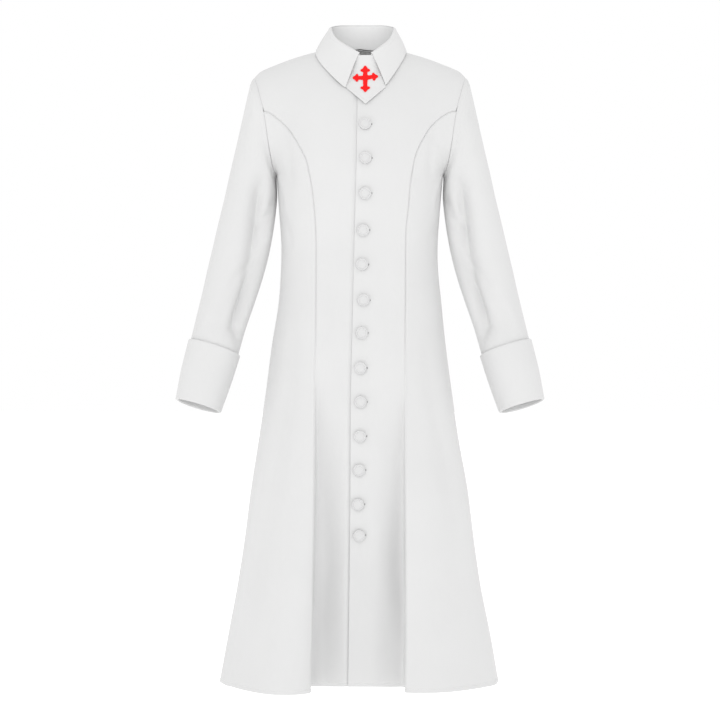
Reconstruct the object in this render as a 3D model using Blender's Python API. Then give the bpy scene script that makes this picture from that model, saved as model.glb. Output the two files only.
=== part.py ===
"""Clergy robe, worn form without a wearer: long white cassock with collar, neck tab, buttons and cuffs.

Metres, +Z up. The front faces -Y and the wearer's left is +X.
The origin lies midway between the two points where neckline and shoulder seam meet.
"""
import math

import bmesh
import bpy
from mathutils import Vector

WALL = 0.0018
SEAM_GAP = 0.0007
LAYER_GAP = 0.0019

HEM_HEIGHT = -1.298
KNEE_HEIGHT = -0.66
WAIST_HEIGHT = -0.40
UNDERARM_HEIGHT = -0.255
RISE_STEP = 0.25

SHOULDER_HALF = 0.218
SHOULDER_HEIGHT = -0.0515
RIDGE_DEPTH = 0.010
NECK_HALF = 0.075
CHEST_FRONT = 0.126
CHEST_BACK = 0.110
CHEST_ROUND_CENTRE = 1.7
CHEST_ROUND_BACK = 2.3
ARMHOLE_FRONT = 0.058
ARMHOLE_BACK = 0.056
NECK_RISE_FRONT = 0.558
NECK_RISE_BACK = 0.733
PRINCESS_TOP_RISE = 0.582

FOLD_ROUND = 0.012
BACK_FOLD = 0.022
UNDER_LAP = 0.034

SECTION_NAMES = ("height", "right", "left", "front", "back", "seam_right", "seam_left", "fold", "bulge_right",
                 "bulge_left")
SECTIONS = (
    (-1.298, 0.290, 0.287, 0.067, 0.150, 0.0983, 0.0895, 0.073, 0.045, 0.017),
    (-1.200, 0.273, 0.271, 0.078, 0.146, 0.0965, 0.0905, 0.062, 0.037, 0.013),
    (-1.100, 0.255, 0.251, 0.087, 0.142, 0.0945, 0.0910, 0.048, 0.025, 0.008),
    (-1.000, 0.239, 0.235, 0.096, 0.138, 0.0930, 0.0910, 0.036, 0.017, 0.005),
    (-0.900, 0.225, 0.221, 0.104, 0.134, 0.0915, 0.0910, 0.025, 0.010, 0.003),
    (-0.800, 0.209, 0.203, 0.110, 0.130, 0.0912, 0.0910, 0.014, 0.005, 0.001),
    (-0.700, 0.194, 0.189, 0.114, 0.126, 0.0910, 0.0910, 0.004, 0.001, 0.000),
    (-0.600, 0.181, 0.176, 0.116, 0.120, 0.0903, 0.0918, 0.000, 0.000, 0.000),
    (-0.520, 0.168, 0.168, 0.113, 0.109, 0.0897, 0.0926, 0.000, 0.000, 0.000),
    (-0.450, 0.163, 0.161, 0.108, 0.096, 0.0896, 0.0932, 0.000, 0.000, 0.000),
    (-0.400, 0.162, 0.160, 0.108, 0.091, 0.0897, 0.0936, 0.000, 0.000, 0.000),
    (-0.330, 0.1665, 0.1645, 0.118, 0.098, 0.0934, 0.0990, 0.000, 0.000, 0.000),
    (-0.255, 0.172, 0.171, 0.126, 0.110, 0.1050, 0.1070, 0.000, 0.000, 0.000),
)

PRINCESS_NAMES = ("height", "right", "left")
PRINCESS = (
    (-0.400, 0.0897, 0.0936),
    (-0.371, 0.0902, 0.0942),
    (-0.324, 0.0936, 0.0990),
    (-0.283, 0.0987, 0.1025),
    (-0.242, 0.1065, 0.1085),
    (-0.205, 0.1225, 0.1200),
    (-0.172, 0.1430, 0.1385),
    (-0.143, 0.1700, 0.1640),
)

ARMHOLE_NAMES = ("height", "out")
ARMHOLE = (
    (-0.255, 0.1715),
    (-0.242, 0.1775),
    (-0.220, 0.1825),
    (-0.190, 0.1875),
    (-0.155, 0.1925),
    (-0.122, 0.1980),
    (-0.090, 0.2060),
    (-0.068, 0.2125),
    (-0.0515, 0.2180),
)

RIDGE_NAMES = ("share", "front", "back")
RIDGE = (
    (0.000, 0.0150, 0.0340),
    (0.150, 0.0132, 0.0260),
    (0.344, 0.0060, 0.0060),
    (0.430, 0.0008, 0.0008),
    (0.570, -0.0078, -0.0078),
    (0.680, -0.0156, -0.0156),
    (0.775, -0.0235, -0.0235),
    (0.867, -0.0315, -0.0315),
    (0.950, -0.0405, -0.0405),
    (1.000, -0.0515, -0.0515),
)

EDGE_NAMES = ("height", "place")
FRONT_EDGE = (
    (-1.298, -0.0240),
    (-0.920, -0.0195),
    (-0.720, -0.0185),
    (-0.500, -0.0135),
    (-0.100, -0.0050),
    (-0.030, -0.0040),
)

SLEEVE_NAMES = ("out", "out_height", "in", "in_height", "depth", "forward", "tilt")
SLEEVE_ROWS = (
    (0.2268, -0.0680, 0.1738, -0.2640, 0.0600, -0.002, 0),
    (0.2350, -0.1030, 0.1732, -0.2740, 0.0620, -0.003, 0),
    (0.2440, -0.1430, 0.1726, -0.2850, 0.0630, -0.004, 0),
    (0.2555, -0.1940, 0.1722, -0.2990, 0.0630, -0.005, 0),
    (0.2680, -0.2470, 0.1728, -0.3180, 0.0625, -0.005, 1),
    (0.2800, -0.3020, 0.1752, -0.3420, 0.0615, -0.004, 2),
    (0.2920, -0.3520, 0.1800, -0.3760, 0.0605, -0.001, 3),
    (0.3030, -0.4010, 0.1890, -0.4230, 0.0600, 0.003, 4),
    (0.3140, -0.4490, 0.2020, -0.4720, 0.0590, 0.008, 5),
    (0.3240, -0.4960, 0.2175, -0.5200, 0.0580, 0.014, 6),
    (0.3355, -0.5460, 0.2345, -0.5700, 0.0565, 0.020, 8),
    (0.3465, -0.5930, 0.2480, -0.6180, 0.0550, 0.026, 9),
    (0.3620, -0.6560, 0.2670, -0.6810, 0.0545, 0.034, 9),
    (0.3735, -0.7170, 0.2880, -0.7420, 0.0540, 0.041, 9),
)
CUFF_FIRST_ROW = 11
CUFF_LIP = 0.0035

NECK_NAMES = ("share", "half", "depth", "height")
FOLD_LINE = (
    (0.00, 0.0000, 0.0600, 0.0625),
    (0.12, 0.0250, 0.0560, 0.0620),
    (0.25, 0.0470, 0.0420, 0.0595),
    (0.38, 0.0610, 0.0230, 0.0540),
    (0.50, 0.0655, 0.0050, 0.0490),
    (0.62, 0.0620, -0.0150, 0.0410),
    (0.75, 0.0490, -0.0350, 0.0270),
    (0.88, 0.0310, -0.0510, 0.0065),
    (1.00, 0.0130, -0.0605, -0.0150),
)
LEAF_EDGE_NAMES = ("share", "half", "depth", "height")
LEAF_EDGE = (
    (0.00, 0.0000, 0.0850, 0.0100),
    (0.12, 0.0330, 0.0810, 0.0095),
    (0.25, 0.0640, 0.0650, 0.0080),
    (0.38, 0.0860, 0.0400, 0.0070),
    (0.50, 0.0935, 0.0080, 0.0060),
    (0.62, 0.0850, -0.0200, -0.0150),
    (0.75, 0.0700, -0.0480, -0.0370),
    (0.88, 0.0540, -0.0700, -0.0610),
    (1.00, 0.0405, -0.0850, -0.0820),
)
LEAF_LIFT = 0.0062
STAND_END_TURN = 0.052
COLLAR_SHIFT_TOP = 0.0035
COLLAR_SHIFT_FRONT = 0.0075

TAB_TOP_HALF = 0.0170
TAB_TOP_HEIGHT = -0.0175
TAB_SIDE_HALF = 0.0405
TAB_SIDE_HEIGHT = -0.0835
TAB_POINT_HEIGHT = -0.1185
TAB_CENTRE = 0.0112
TAB_NAMES = ("height", "depth")
TAB_PROFILE = (
    (-0.1300, -0.1060),
    (-0.1185, -0.1028),
    (-0.0860, -0.0905),
    (-0.0570, -0.0765),
    (-0.0350, -0.0686),
    (-0.0150, -0.0615),
)

CROSS_CENTRE = -0.0610
CROSS_ARM = 0.0165
CROSS_FOOT = 0.0190
CROSS_BAR = 0.0030
CROSS_BUD = 0.0082

BUTTON_RADIUS = 0.0125
BUTTON_SIDES = 14
BUTTON_NAMES = ("place", "height")
BUTTONS = (
    (0.0100, -0.162),
    (0.0108, -0.231),
    (0.0100, -0.301),
    (0.0060, -0.374),
    (0.0040, -0.443),
    (0.0068, -0.515),
    (0.0030, -0.581),
    (0.0010, -0.651),
    (0.0010, -0.719),
    (0.0000, -0.788),
    (-0.0020, -0.856),
    (-0.0040, -0.925),
    (-0.0020, -0.988),
)

NECK_STEPS = 6
PANEL_COLUMNS = 10
SIDE_COLUMNS = 8
BACK_ARM_ROWS = 10
UPPER_ROWS = 10
LOWER_ROWS = 12

WHITE_CLOTH = (0.86, 0.86, 0.855, 1.0)
WHITE_BUTTON = (0.84, 0.84, 0.84, 1.0)
RED_THREAD = (0.78, 0.03, 0.03, 1.0)


def smooth(value):
    """Ease a value from 0 to 1."""
    value = min(max(value, 0.0), 1.0)
    return value * value * (3.0 - 2.0 * value)


def along(rows, names, name, place):
    """Read one named column of a table at a place, with a smooth curve through its rows."""
    column = names.index(name)
    last = len(rows) - 1
    step = 0
    while step < last - 1 and place > rows[step + 1][0]:
        step += 1
    start = rows[step]
    end = rows[step + 1]
    width = end[0] - start[0]
    share = (place - start[0]) / width
    slope = (end[column] - start[column]) / width
    before = slope
    after = slope
    if step > 0:
        earlier = (start[column] - rows[step - 1][column]) / (start[0] - rows[step - 1][0])
        before = 0.5 * (slope + earlier)
    if step < last - 1:
        later = (rows[step + 2][column] - end[column]) / (rows[step + 2][0] - end[0])
        after = 0.5 * (slope + later)
    if share < 0.0:
        return start[column] + before * (place - start[0])
    if share > 1.0:
        return end[column] + after * (place - end[0])
    square = share * share
    cube = square * share
    value = (2.0 * cube - 3.0 * square + 1.0) * start[column] + (3.0 * square - 2.0 * cube) * end[column]
    return value + (cube - 2.0 * square + share) * width * before + (cube - square) * width * after


def section(name, height):
    return along(SECTIONS, SECTION_NAMES, name, height)


def side_name(side):
    return "left" if side > 0 else "right"


def rise_of(height):
    """Turn a height at or below the underarm into the rise that the surface is measured in."""
    return (height - UNDERARM_HEIGHT) / RISE_STEP


WAIST_RISE = rise_of(WAIST_HEIGHT)
HEM_RISE = rise_of(HEM_HEIGHT)


def seam_turn(side):
    """Share of the quarter turn at which the princess seam runs from the waist down."""
    ratio = section("seam_" + side_name(side), WAIST_HEIGHT) / section(side_name(side), WAIST_HEIGHT)
    return math.asin(ratio) / (0.5 * math.pi)


SEAM_TURNS = {1: seam_turn(1), -1: seam_turn(-1)}


def hinge(value, soft):
    if soft <= 0.0:
        return max(value, 0.0)
    return 0.5 * (value + math.sqrt(value * value + soft * soft))


def skirt_front(side, turn, height):
    """Front of the robe from waist to hem, with the fold that stands forward at the princess seam."""
    name = side_name(side)
    width = section(name, height)
    front = section("front", height)
    seam = section("seam_" + name, height)
    fold = max(section("fold", height), 0.0)
    share = SEAM_TURNS[side]
    if turn <= share:
        soft = min(FOLD_ROUND, 0.6 * fold)
        valley = seam * (1.0 + 0.6 * fold)
        run = turn / share * (valley + fold)
        forward = hinge(run - valley, soft)
        out = run - forward
        if fold > 0.0:
            whole = hinge(fold, soft)
            end = valley + fold - whole
            out += (seam - end) * forward / whole
            forward *= fold / whole
        else:
            out = turn / share * seam
        base = front * math.sqrt(max(1.0 - (out / width) ** 2, 0.0))
        return out, -(base + forward)
    part = (turn - share) / (1.0 - share)
    start = math.asin(seam / width)
    angle = start + (0.5 * math.pi - start) * part
    reach = front + fold / math.cos(start)
    bulge = max(section("bulge_" + name, height), 0.0)
    swell = math.sin(math.pi * min(part / 0.6, 1.0) ** 0.7)
    return width * math.sin(angle), -(reach * math.cos(angle) + bulge * swell)


def skirt_back(side, turn, height):
    """Back of the robe below the waist, with two soft flare folds in each panel."""
    width = section(side_name(side), height)
    back = section("back", height)
    angle = 0.5 * math.pi * turn
    fall = smooth((KNEE_HEIGHT + 0.10 - height) / 0.75)
    size = BACK_FOLD * fall * (1.0 if turn < 0.5 else 0.7)
    swell = size * 0.5 * (1.0 - math.cos(4.0 * math.pi * turn))
    return (width + 0.4 * swell) * math.sin(angle), back * math.cos(angle) + swell * math.cos(0.7 * angle)


def armhole_point(side, face, rise):
    """Point on the armhole: rise 0 is the underarm and rise 1 the shoulder tip."""
    middle = 0.5 * (UNDERARM_HEIGHT + SHOULDER_HEIGHT)
    half = 0.5 * (SHOULDER_HEIGHT - UNDERARM_HEIGHT)
    height = middle - half * math.cos(math.pi * rise)
    out = along(ARMHOLE, ARMHOLE_NAMES, "out", height)
    depth = ARMHOLE_FRONT if face < 0 else ARMHOLE_BACK
    across = face * depth * math.sin(math.pi * rise) + RIDGE_DEPTH * rise
    return Vector((out, across, height))


def chest(side, face, turn, rise):
    """Robe above the underarm, from the centre line (turn 0) to the armhole (turn 1)."""
    arm = armhole_point(side, face, rise)
    flat = smooth(1.7 * rise)
    out_share = (1.0 - flat) * math.sin(0.5 * math.pi * turn) + flat * turn
    centre = CHEST_FRONT if face < 0 else CHEST_BACK
    bend = CHEST_ROUND_CENTRE if face < 0 else CHEST_ROUND_BACK
    if face < 0:
        bend += 0.5 * smooth(abs(turn) / 0.6)
    quarter = 0.5 * math.pi * rise
    lift_centre = max(math.sin(quarter), 0.0) ** (2.0 / bend)
    keep = max(math.cos(quarter), 0.0) ** (2.0 / bend)
    lift_arm = 0.5 * (1.0 - math.cos(math.pi * rise))
    lift = lift_centre + (lift_arm - lift_centre) * turn * turn
    ridge = along(RIDGE, RIDGE_NAMES, "front" if face < 0 else "back", abs(turn))
    height = UNDERARM_HEIGHT + (ridge - UNDERARM_HEIGHT) * lift
    middle = RIDGE_DEPTH + (face * centre - RIDGE_DEPTH) * keep
    across = arm.y + (middle - arm.y) * math.cos(0.5 * math.pi * turn)
    return Vector((arm.x * out_share, across, height))


def body(side, around, rise):
    """Outer face of the robe: around 0 centre front, 1 side or armhole, 2 centre back; rise 0 underarm."""
    if rise > 1.0:
        around = 2.0 - around
        rise = 2.0 - rise
    face = -1 if around <= 1.0 else 1
    turn = around if face < 0 else 2.0 - around
    if rise >= 0.0:
        point = chest(side, face, min(turn, 1.0), rise)
    else:
        height = UNDERARM_HEIGHT + RISE_STEP * rise
        if face > 0:
            out, across = skirt_back(side, turn, height)
        elif rise > WAIST_RISE:
            out = section(side_name(side), height) * math.sin(0.5 * math.pi * turn)
            across = -section("front", height) * math.cos(0.5 * math.pi * turn)
        else:
            out, across = skirt_front(side, turn, height)
        point = Vector((out, across, height))
    return Vector((side * point.x, point.y, point.z))


def body_normal(side, around, rise):
    """Outward direction of the robe's outer face, the mean of both sides where it is creased."""
    step = 0.006
    reach = step if rise > WAIST_RISE else 0.022
    low = around - reach
    high = around + reach
    if rise > 0.0 and around <= 1.0:
        high = min(high, 1.0)
    if rise > 0.0 and around > 1.0:
        low = max(low, 1.0001)
    across = body(side, high, rise) - body(side, low, rise)
    up = body(side, around, rise + step) - body(side, around, max(rise - step, HEM_RISE))
    normal = across.cross(up)
    if side < 0:
        normal = -normal
    return normal.normalized()


def place_on_front(side, world, height):
    """Find turn and rise of the front point that has this sideways place and this height."""
    local = side * world
    if height < UNDERARM_HEIGHT:
        rise = rise_of(height)
        return front_turn(side, world, rise), rise
    low = 0.0
    high = 1.0
    for _ in range(40):
        rise = 0.5 * (low + high)
        turn = front_turn(side, world, rise)
        if chest(side, -1, min(turn, 1.0), rise).z < height:
            low = rise
        else:
            high = rise
    return front_turn(side, side * local, rise), rise


def front_turn(side, world, rise):
    """Turn at which the front has this sideways place, at one rise."""
    local = side * world
    low = -0.45
    high = 1.0
    for _ in range(40):
        turn = 0.5 * (low + high)
        if side * body(side, turn, rise).x < local:
            low = turn
        else:
            high = turn
    return 0.5 * (low + high)


def front_point(world, height, lift):
    """Point over the front at a sideways place and height, moved out from the cloth by lift."""
    side = 1 if world >= 0.0 else -1
    turn, rise = place_on_front(side, world, height)
    return body(side, turn, rise) + body_normal(side, turn, rise) * lift


def shares(count):
    return [step / count for step in range(count + 1)]


def neck_place(face, share):
    """Neckline in turn and rise: share 0 is the centre line and share 1 the shoulder seam."""
    low = NECK_RISE_FRONT if face < 0 else NECK_RISE_BACK
    angle = 0.5 * math.pi * share
    turn = NECK_HALF / SHOULDER_HALF * math.sin(angle)
    return turn, low + (1.0 - low) * (1.0 - math.cos(angle))


def princess_places(side):
    """Princess seam above the waist, from the waist to the armhole, in turn and rise."""
    name = side_name(side)
    places = [(SEAM_TURNS[side], WAIST_RISE)]
    for row in PRINCESS[1:]:
        out = row[PRINCESS_NAMES.index(name)]
        places.append(place_on_front(side, side * out, row[0]))
    places.append((1.0, PRINCESS_TOP_RISE))
    points = [body(side, turn, rise) for turn, rise in places]
    lengths = [0.0]
    for first, second in zip(points, points[1:]):
        lengths.append(lengths[-1] + (second - first).length)
    turn_rows = tuple((length, place[0], place[1]) for length, place in zip(lengths, places))
    names = ("length", "turn", "rise")
    result = []
    for share in shares(UPPER_ROWS):
        run = (1.0 - (1.0 - share) ** 1.35) * lengths[-1]
        result.append((along(turn_rows, names, "turn", run), along(turn_rows, names, "rise", run)))
    result[0] = places[0]
    result[-1] = places[-1]
    return result


def lower_rises():
    return [WAIST_RISE + (HEM_RISE - WAIST_RISE) * (1.0 - share) ** 1.35 for share in shares(LOWER_ROWS)]


def blend_patch(bottom, top, left, right):
    """Fill the field between four edges, row by row, and leave out the first row."""
    rows = []
    across = len(bottom) - 1
    up = len(left) - 1
    for row in range(1, up + 1):
        high = row / up
        line = []
        for column in range(across + 1):
            far = column / across
            place = []
            for axis in (0, 1):
                value = (1.0 - high) * bottom[column][axis] + high * top[column][axis]
                value += (1.0 - far) * left[row][axis] + far * right[row][axis]
                value -= (1.0 - far) * (1.0 - high) * bottom[0][axis] + far * (1.0 - high) * bottom[-1][axis]
                value -= (1.0 - far) * high * top[0][axis] + far * high * top[-1][axis]
                place.append(value)
            line.append((min(place[0], 1.0), min(place[1], 1.0)))
        rows.append(line)
    return rows


def strip_places(side, height):
    """Sideways places of the lap's columns: the free edge first, then the columns that both layers share."""
    edge = along(FRONT_EDGE, EDGE_NAMES, "place", height)
    if side > 0:
        return [edge, edge + 0.5 * UNDER_LAP, edge + UNDER_LAP]
    return [edge + UNDER_LAP, edge + 0.5 * UNDER_LAP, edge - 0.005, edge - 0.022]


def front_places(side):
    """Grid of the centre-front panel in turn and rise."""
    rows = []
    seam = SEAM_TURNS[side]
    strip = len(strip_places(side, HEM_HEIGHT))
    rest = PANEL_COLUMNS + 1 - strip
    for rise in lower_rises():
        height = UNDERARM_HEIGHT + RISE_STEP * rise
        row = [front_turn(side, place, rise) for place in strip_places(side, height)]
        start = row[-1]
        row += [start + (seam - start) * share for share in shares(rest)[1:]]
        rows.append([(turn, rise) for turn in row])
    lap_rows = 0 if side > 0 else 2
    edge_top = front_turn(side, strip_places(side, -0.055)[0], NECK_RISE_FRONT)
    left = []
    for share in shares(UPPER_ROWS - lap_rows):
        rise = WAIST_RISE + (NECK_RISE_FRONT - WAIST_RISE) * share
        height = WAIST_HEIGHT + 0.345 * share
        left.append((front_turn(side, strip_places(side, height)[0], rise), rise))
    for share in shares(lap_rows)[1:] if lap_rows else []:
        left.append((edge_top * (1.0 - share), NECK_RISE_FRONT))
    for share in shares(NECK_STEPS)[1:]:
        left.append(neck_place(-1, share))
    right = princess_places(side)
    for share in shares(NECK_STEPS)[1:]:
        right.append((1.0, PRINCESS_TOP_RISE + (1.0 - PRINCESS_TOP_RISE) * share))
    first = NECK_HALF / SHOULDER_HALF
    top = [(first + (1.0 - first) * share, 1.0) for share in shares(PANEL_COLUMNS)]
    return rows + blend_patch(rows[-1], top, left, right)


def side_front_places(side):
    """Grid of the side-front panel in turn and rise."""
    seam = SEAM_TURNS[side]
    rows = []
    for rise in lower_rises():
        rows.append([(seam + (1.0 - seam) * share, rise) for share in shares(SIDE_COLUMNS)])
    right = [(1.0, WAIST_RISE * (1.0 - share)) for share in shares(UPPER_ROWS)]
    top = [(1.0, PRINCESS_TOP_RISE * (1.0 - share)) for share in shares(SIDE_COLUMNS)]
    return rows + blend_patch(rows[-1], top, princess_places(side), right)


def back_places(side):
    """Grid of the back panel, from the side seam to the centre back, in around and rise."""
    rows = []
    for rise in lower_rises():
        rows.append([(share, rise) for share in shares(PANEL_COLUMNS)])
    plain = UPPER_ROWS + BACK_ARM_ROWS - NECK_STEPS
    left = [(0.0, WAIST_RISE + (NECK_RISE_BACK - WAIST_RISE) * share) for share in shares(plain)]
    left += [neck_place(1, share) for share in shares(NECK_STEPS)[1:]]
    right = [(1.0, WAIST_RISE * (1.0 - share)) for share in shares(UPPER_ROWS)]
    right += [(1.0, share) for share in shares(BACK_ARM_ROWS)[1:]]
    first = NECK_HALF / SHOULDER_HALF
    top = [(first + (1.0 - first) * share, 1.0) for share in shares(PANEL_COLUMNS)]
    rows += blend_patch(rows[-1], top, left, right)
    return [[(2.0 - min(turn, 0.9999), rise) for turn, rise in row] for row in rows]


def grid_normals(points, wrap):
    """Outward direction at each point of a grid whose rows run up or along and columns across."""
    rows = len(points)
    columns = len(points[0])
    normals = []
    for row in range(rows):
        line = []
        for column in range(columns):
            if wrap:
                across = points[row][(column + 1) % columns] - points[row][column - 1]
            else:
                across = points[row][min(column + 1, columns - 1)] - points[row][max(column - 1, 0)]
            up = points[min(row + 1, rows - 1)][column] - points[max(row - 1, 0)][column]
            line.append(across.cross(up).normalized())
        normals.append(line)
    return normals


def pull_in(points, sides, wrap=False):
    """Draw the named edges of a grid a little inward, so that neighbours lie one seam gap apart."""
    moved = [[point.copy() for point in row] for row in points]
    draw = 0.5 * SEAM_GAP
    for column in range(len(points[0])):
        if "first_row" in sides:
            moved[0][column] += (points[1][column] - points[0][column]).normalized() * draw
        if "last_row" in sides:
            moved[-1][column] += (points[-2][column] - points[-1][column]).normalized() * draw
    for row in range(len(points)):
        if "first_column" in sides:
            moved[row][0] += (points[row][1] - points[row][0]).normalized() * draw
        if "last_column" in sides:
            moved[row][-1] += (points[row][-2] - points[row][-1]).normalized() * draw
    return moved


def new_object(name, mesh, colour, rough):
    """Make the named object with its own material and hang it under the robe's empty."""
    material = bpy.data.materials.new(name + "_cloth")
    material.use_nodes = True
    shader = material.node_tree.nodes["Principled BSDF"]
    shader.inputs["Base Color"].default_value = colour
    shader.inputs["Roughness"].default_value = rough
    shader.inputs["Metallic"].default_value = 0.0
    mesh.materials.append(material)
    piece = bpy.data.objects.new(name, mesh)
    bpy.context.scene.collection.objects.link(piece)
    piece.parent = bpy.data.objects["clergy_robe"]
    return piece


def wall_mesh(name, outer, inner, wrap=False):
    """Close two matching grids into one wall of cloth."""
    form = bmesh.new()
    rows = len(outer)
    columns = len(outer[0])
    over = [[form.verts.new(point) for point in row] for row in outer]
    under = [[form.verts.new(point) for point in row] for row in inner]
    spans = columns if wrap else columns - 1
    for row in range(rows - 1):
        for column in range(spans):
            after = (column + 1) % columns
            form.faces.new((over[row][column], over[row][after], over[row + 1][after], over[row + 1][column]))
            form.faces.new((under[row][column], under[row + 1][column], under[row + 1][after], under[row][after]))
    for face in form.faces:
        face.smooth = True
    for column in range(spans):
        after = (column + 1) % columns
        form.faces.new((over[0][after], over[0][column], under[0][column], under[0][after]))
        form.faces.new((over[-1][column], over[-1][after], under[-1][after], under[-1][column]))
    if not wrap:
        for row in range(rows - 1):
            form.faces.new((over[row][0], over[row + 1][0], under[row + 1][0], under[row][0]))
            form.faces.new((over[row + 1][-1], over[row][-1], under[row][-1], under[row + 1][-1]))
    bmesh.ops.recalc_face_normals(form, faces=form.faces)
    mesh = bpy.data.meshes.new(name)
    form.to_mesh(mesh)
    form.free()
    return mesh


def under_layer_drop(world, height):
    """How far the under layer lies below the outer face, at a sideways place."""
    edge = along(FRONT_EDGE, EDGE_NAMES, "place", height)
    return (WALL + LAYER_GAP) * smooth((world - edge + 0.022) / 0.016)


def seam_direction(side, face, rise):
    """Wall direction at the armhole: shared by robe and sleeve on top, each its own at the underarm."""
    around = 1.0 if face < 0 else 1.0001
    own = body_normal(side, around, rise)
    if rise > 0.97:
        own = (body_normal(side, 1.0, rise) + body_normal(side, 1.0001, rise)).normalized()
    angle = math.pi * rise if face < 0 else 2.0 * math.pi - math.pi * rise
    start = armhole_point(side, face, rise)
    start.x *= side
    leave = sleeve_point(side, 0, angle) - start
    ahead = armhole_point(side, face, min(rise + 0.01, 1.0))
    behind = armhole_point(side, face, max(rise - 0.01, 0.0))
    tangent = ahead - behind
    tangent.x *= side
    sleeve = tangent.cross(leave).normalized()
    if sleeve.y * face < 0.0:
        sleeve = -sleeve
    if rise > 0.93 or rise < 0.07:
        sleeve = Vector((side * (1.0 if rise > 0.5 else -1.0), 0.0, 0.45 if rise > 0.5 else 0.0)).normalized()
    weight = smooth((0.5 * (1.0 - math.cos(angle)) - 0.15) / 0.3)
    return (own + sleeve * weight).normalized(), (sleeve + own * weight).normalized()


def panel(name, side, places, sides):
    """Cut-and-sewn panel of the body, from its grid of places."""
    outer = []
    normals = []
    for row in places:
        outer_row = []
        normal_row = []
        for around, rise in row:
            point = body(side, around, rise)
            normal = body_normal(side, around, rise)
            if rise > 0.0 and abs(around - 1.0) < 0.0005:
                face = -1 if around <= 1.0 and name[:4] != "back" else 1
                normal = seam_direction(side, face, rise)[0]
            if name == "front_right":
                point -= normal * under_layer_drop(point.x, point.z)
            outer_row.append(point)
            normal_row.append(normal)
        outer.append(outer_row)
        normals.append(normal_row)
    outer = pull_in(outer, sides)
    inner = [[point - normal * WALL for point, normal in zip(line, ways)] for line, ways in zip(outer, normals)]
    return new_object(name, wall_mesh(name, outer, inner), WHITE_CLOTH, 0.75)


def sleeve_point(side, row, angle, spread=0.0):
    """Outer face of the sleeve at one row: angle 0 is the inner edge, pi the outer edge, front between."""
    values = dict(zip(SLEEVE_NAMES, SLEEVE_ROWS[row]))
    outside = Vector((values["out"], 0.0, values["out_height"]))
    inside = Vector((values["in"], 0.0, values["in_height"]))
    middle = 0.5 * (outside + inside)
    half = 0.5 * (outside - inside)
    half += half.normalized() * spread
    tilt = math.radians(values["tilt"])
    front = Vector((0.0, -math.cos(tilt), math.sin(tilt))) * (values["depth"] + spread)
    squeeze = 1.0 - 0.10 * math.sin(angle) ** 2 * (1.0 if math.sin(angle) > 0.0 else 0.3)
    point = middle - half * math.cos(angle) + front * math.sin(angle) * squeeze
    point.y -= values["forward"]
    if row < 5:
        near = 1.0 - (row + 1) / 6.0
        face = -1 if math.sin(angle) >= 0.0 else 1
        rise = angle / math.pi if face < 0 else 2.0 - angle / math.pi
        arm = armhole_point(side, face, min(max(rise, 0.0), 1.0))
        top = armhole_point(side, face, 1.0)
        low = armhole_point(side, face, 0.0)
        depth = ARMHOLE_FRONT if face < 0 else ARMHOLE_BACK
        round_arm = 0.5 * (top + low) - 0.5 * (top - low) * math.cos(angle)
        round_arm.y -= depth * math.sin(angle)
        point += (arm - round_arm) * near * near
    point.x *= side
    return point


def armhole_angles():
    """Angles round the armhole that match the edge points of the panels."""
    front = [PRINCESS_TOP_RISE * share for share in shares(SIDE_COLUMNS)]
    front += [PRINCESS_TOP_RISE + (1.0 - PRINCESS_TOP_RISE) * share for share in shares(NECK_STEPS)[1:]]
    angles = [math.pi * rise for rise in front]
    for share in reversed(shares(BACK_ARM_ROWS)[1:-1]):
        angles.append(2.0 * math.pi - math.pi * share)
    return angles


def sleeve(name, side):
    """Set-in sleeve from the armhole to just inside the cuff's lower lip."""
    angles = armhole_angles()
    points = []
    first = []
    edge_ways = []
    for angle in angles:
        face = -1 if angle <= math.pi else 1
        rise = angle / math.pi if face < 0 else 2.0 - angle / math.pi
        point = armhole_point(side, face, rise)
        point.x *= side
        first.append(point)
        edge_ways.append(seam_direction(side, face, rise)[1])
    points.append(first)
    last = len(SLEEVE_ROWS)
    for row in range(last):
        points.append([sleeve_point(side, row, angle) for angle in angles])
    end_way = [(points[-2][column] - points[-1][column]).normalized() for column in range(len(angles))]
    points[-1] = [point + way * (WALL + 0.0016) for point, way in zip(points[-1], end_way)]
    normals = grid_normals(points, True)
    middle = sum((point for point in points[4]), Vector()) / len(angles)
    if (points[4][0] - middle).dot(normals[4][0]) < 0.0:
        normals = [[-way for way in line] for line in normals]
    normals[0] = edge_ways
    points = pull_in(points, ("first_row",))
    inner = [[point - way * WALL for point, way in zip(line, ways)] for line, ways in zip(points, normals)]
    return new_object(name, wall_mesh(name, points, inner, True), WHITE_CLOTH, 0.75)


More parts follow.
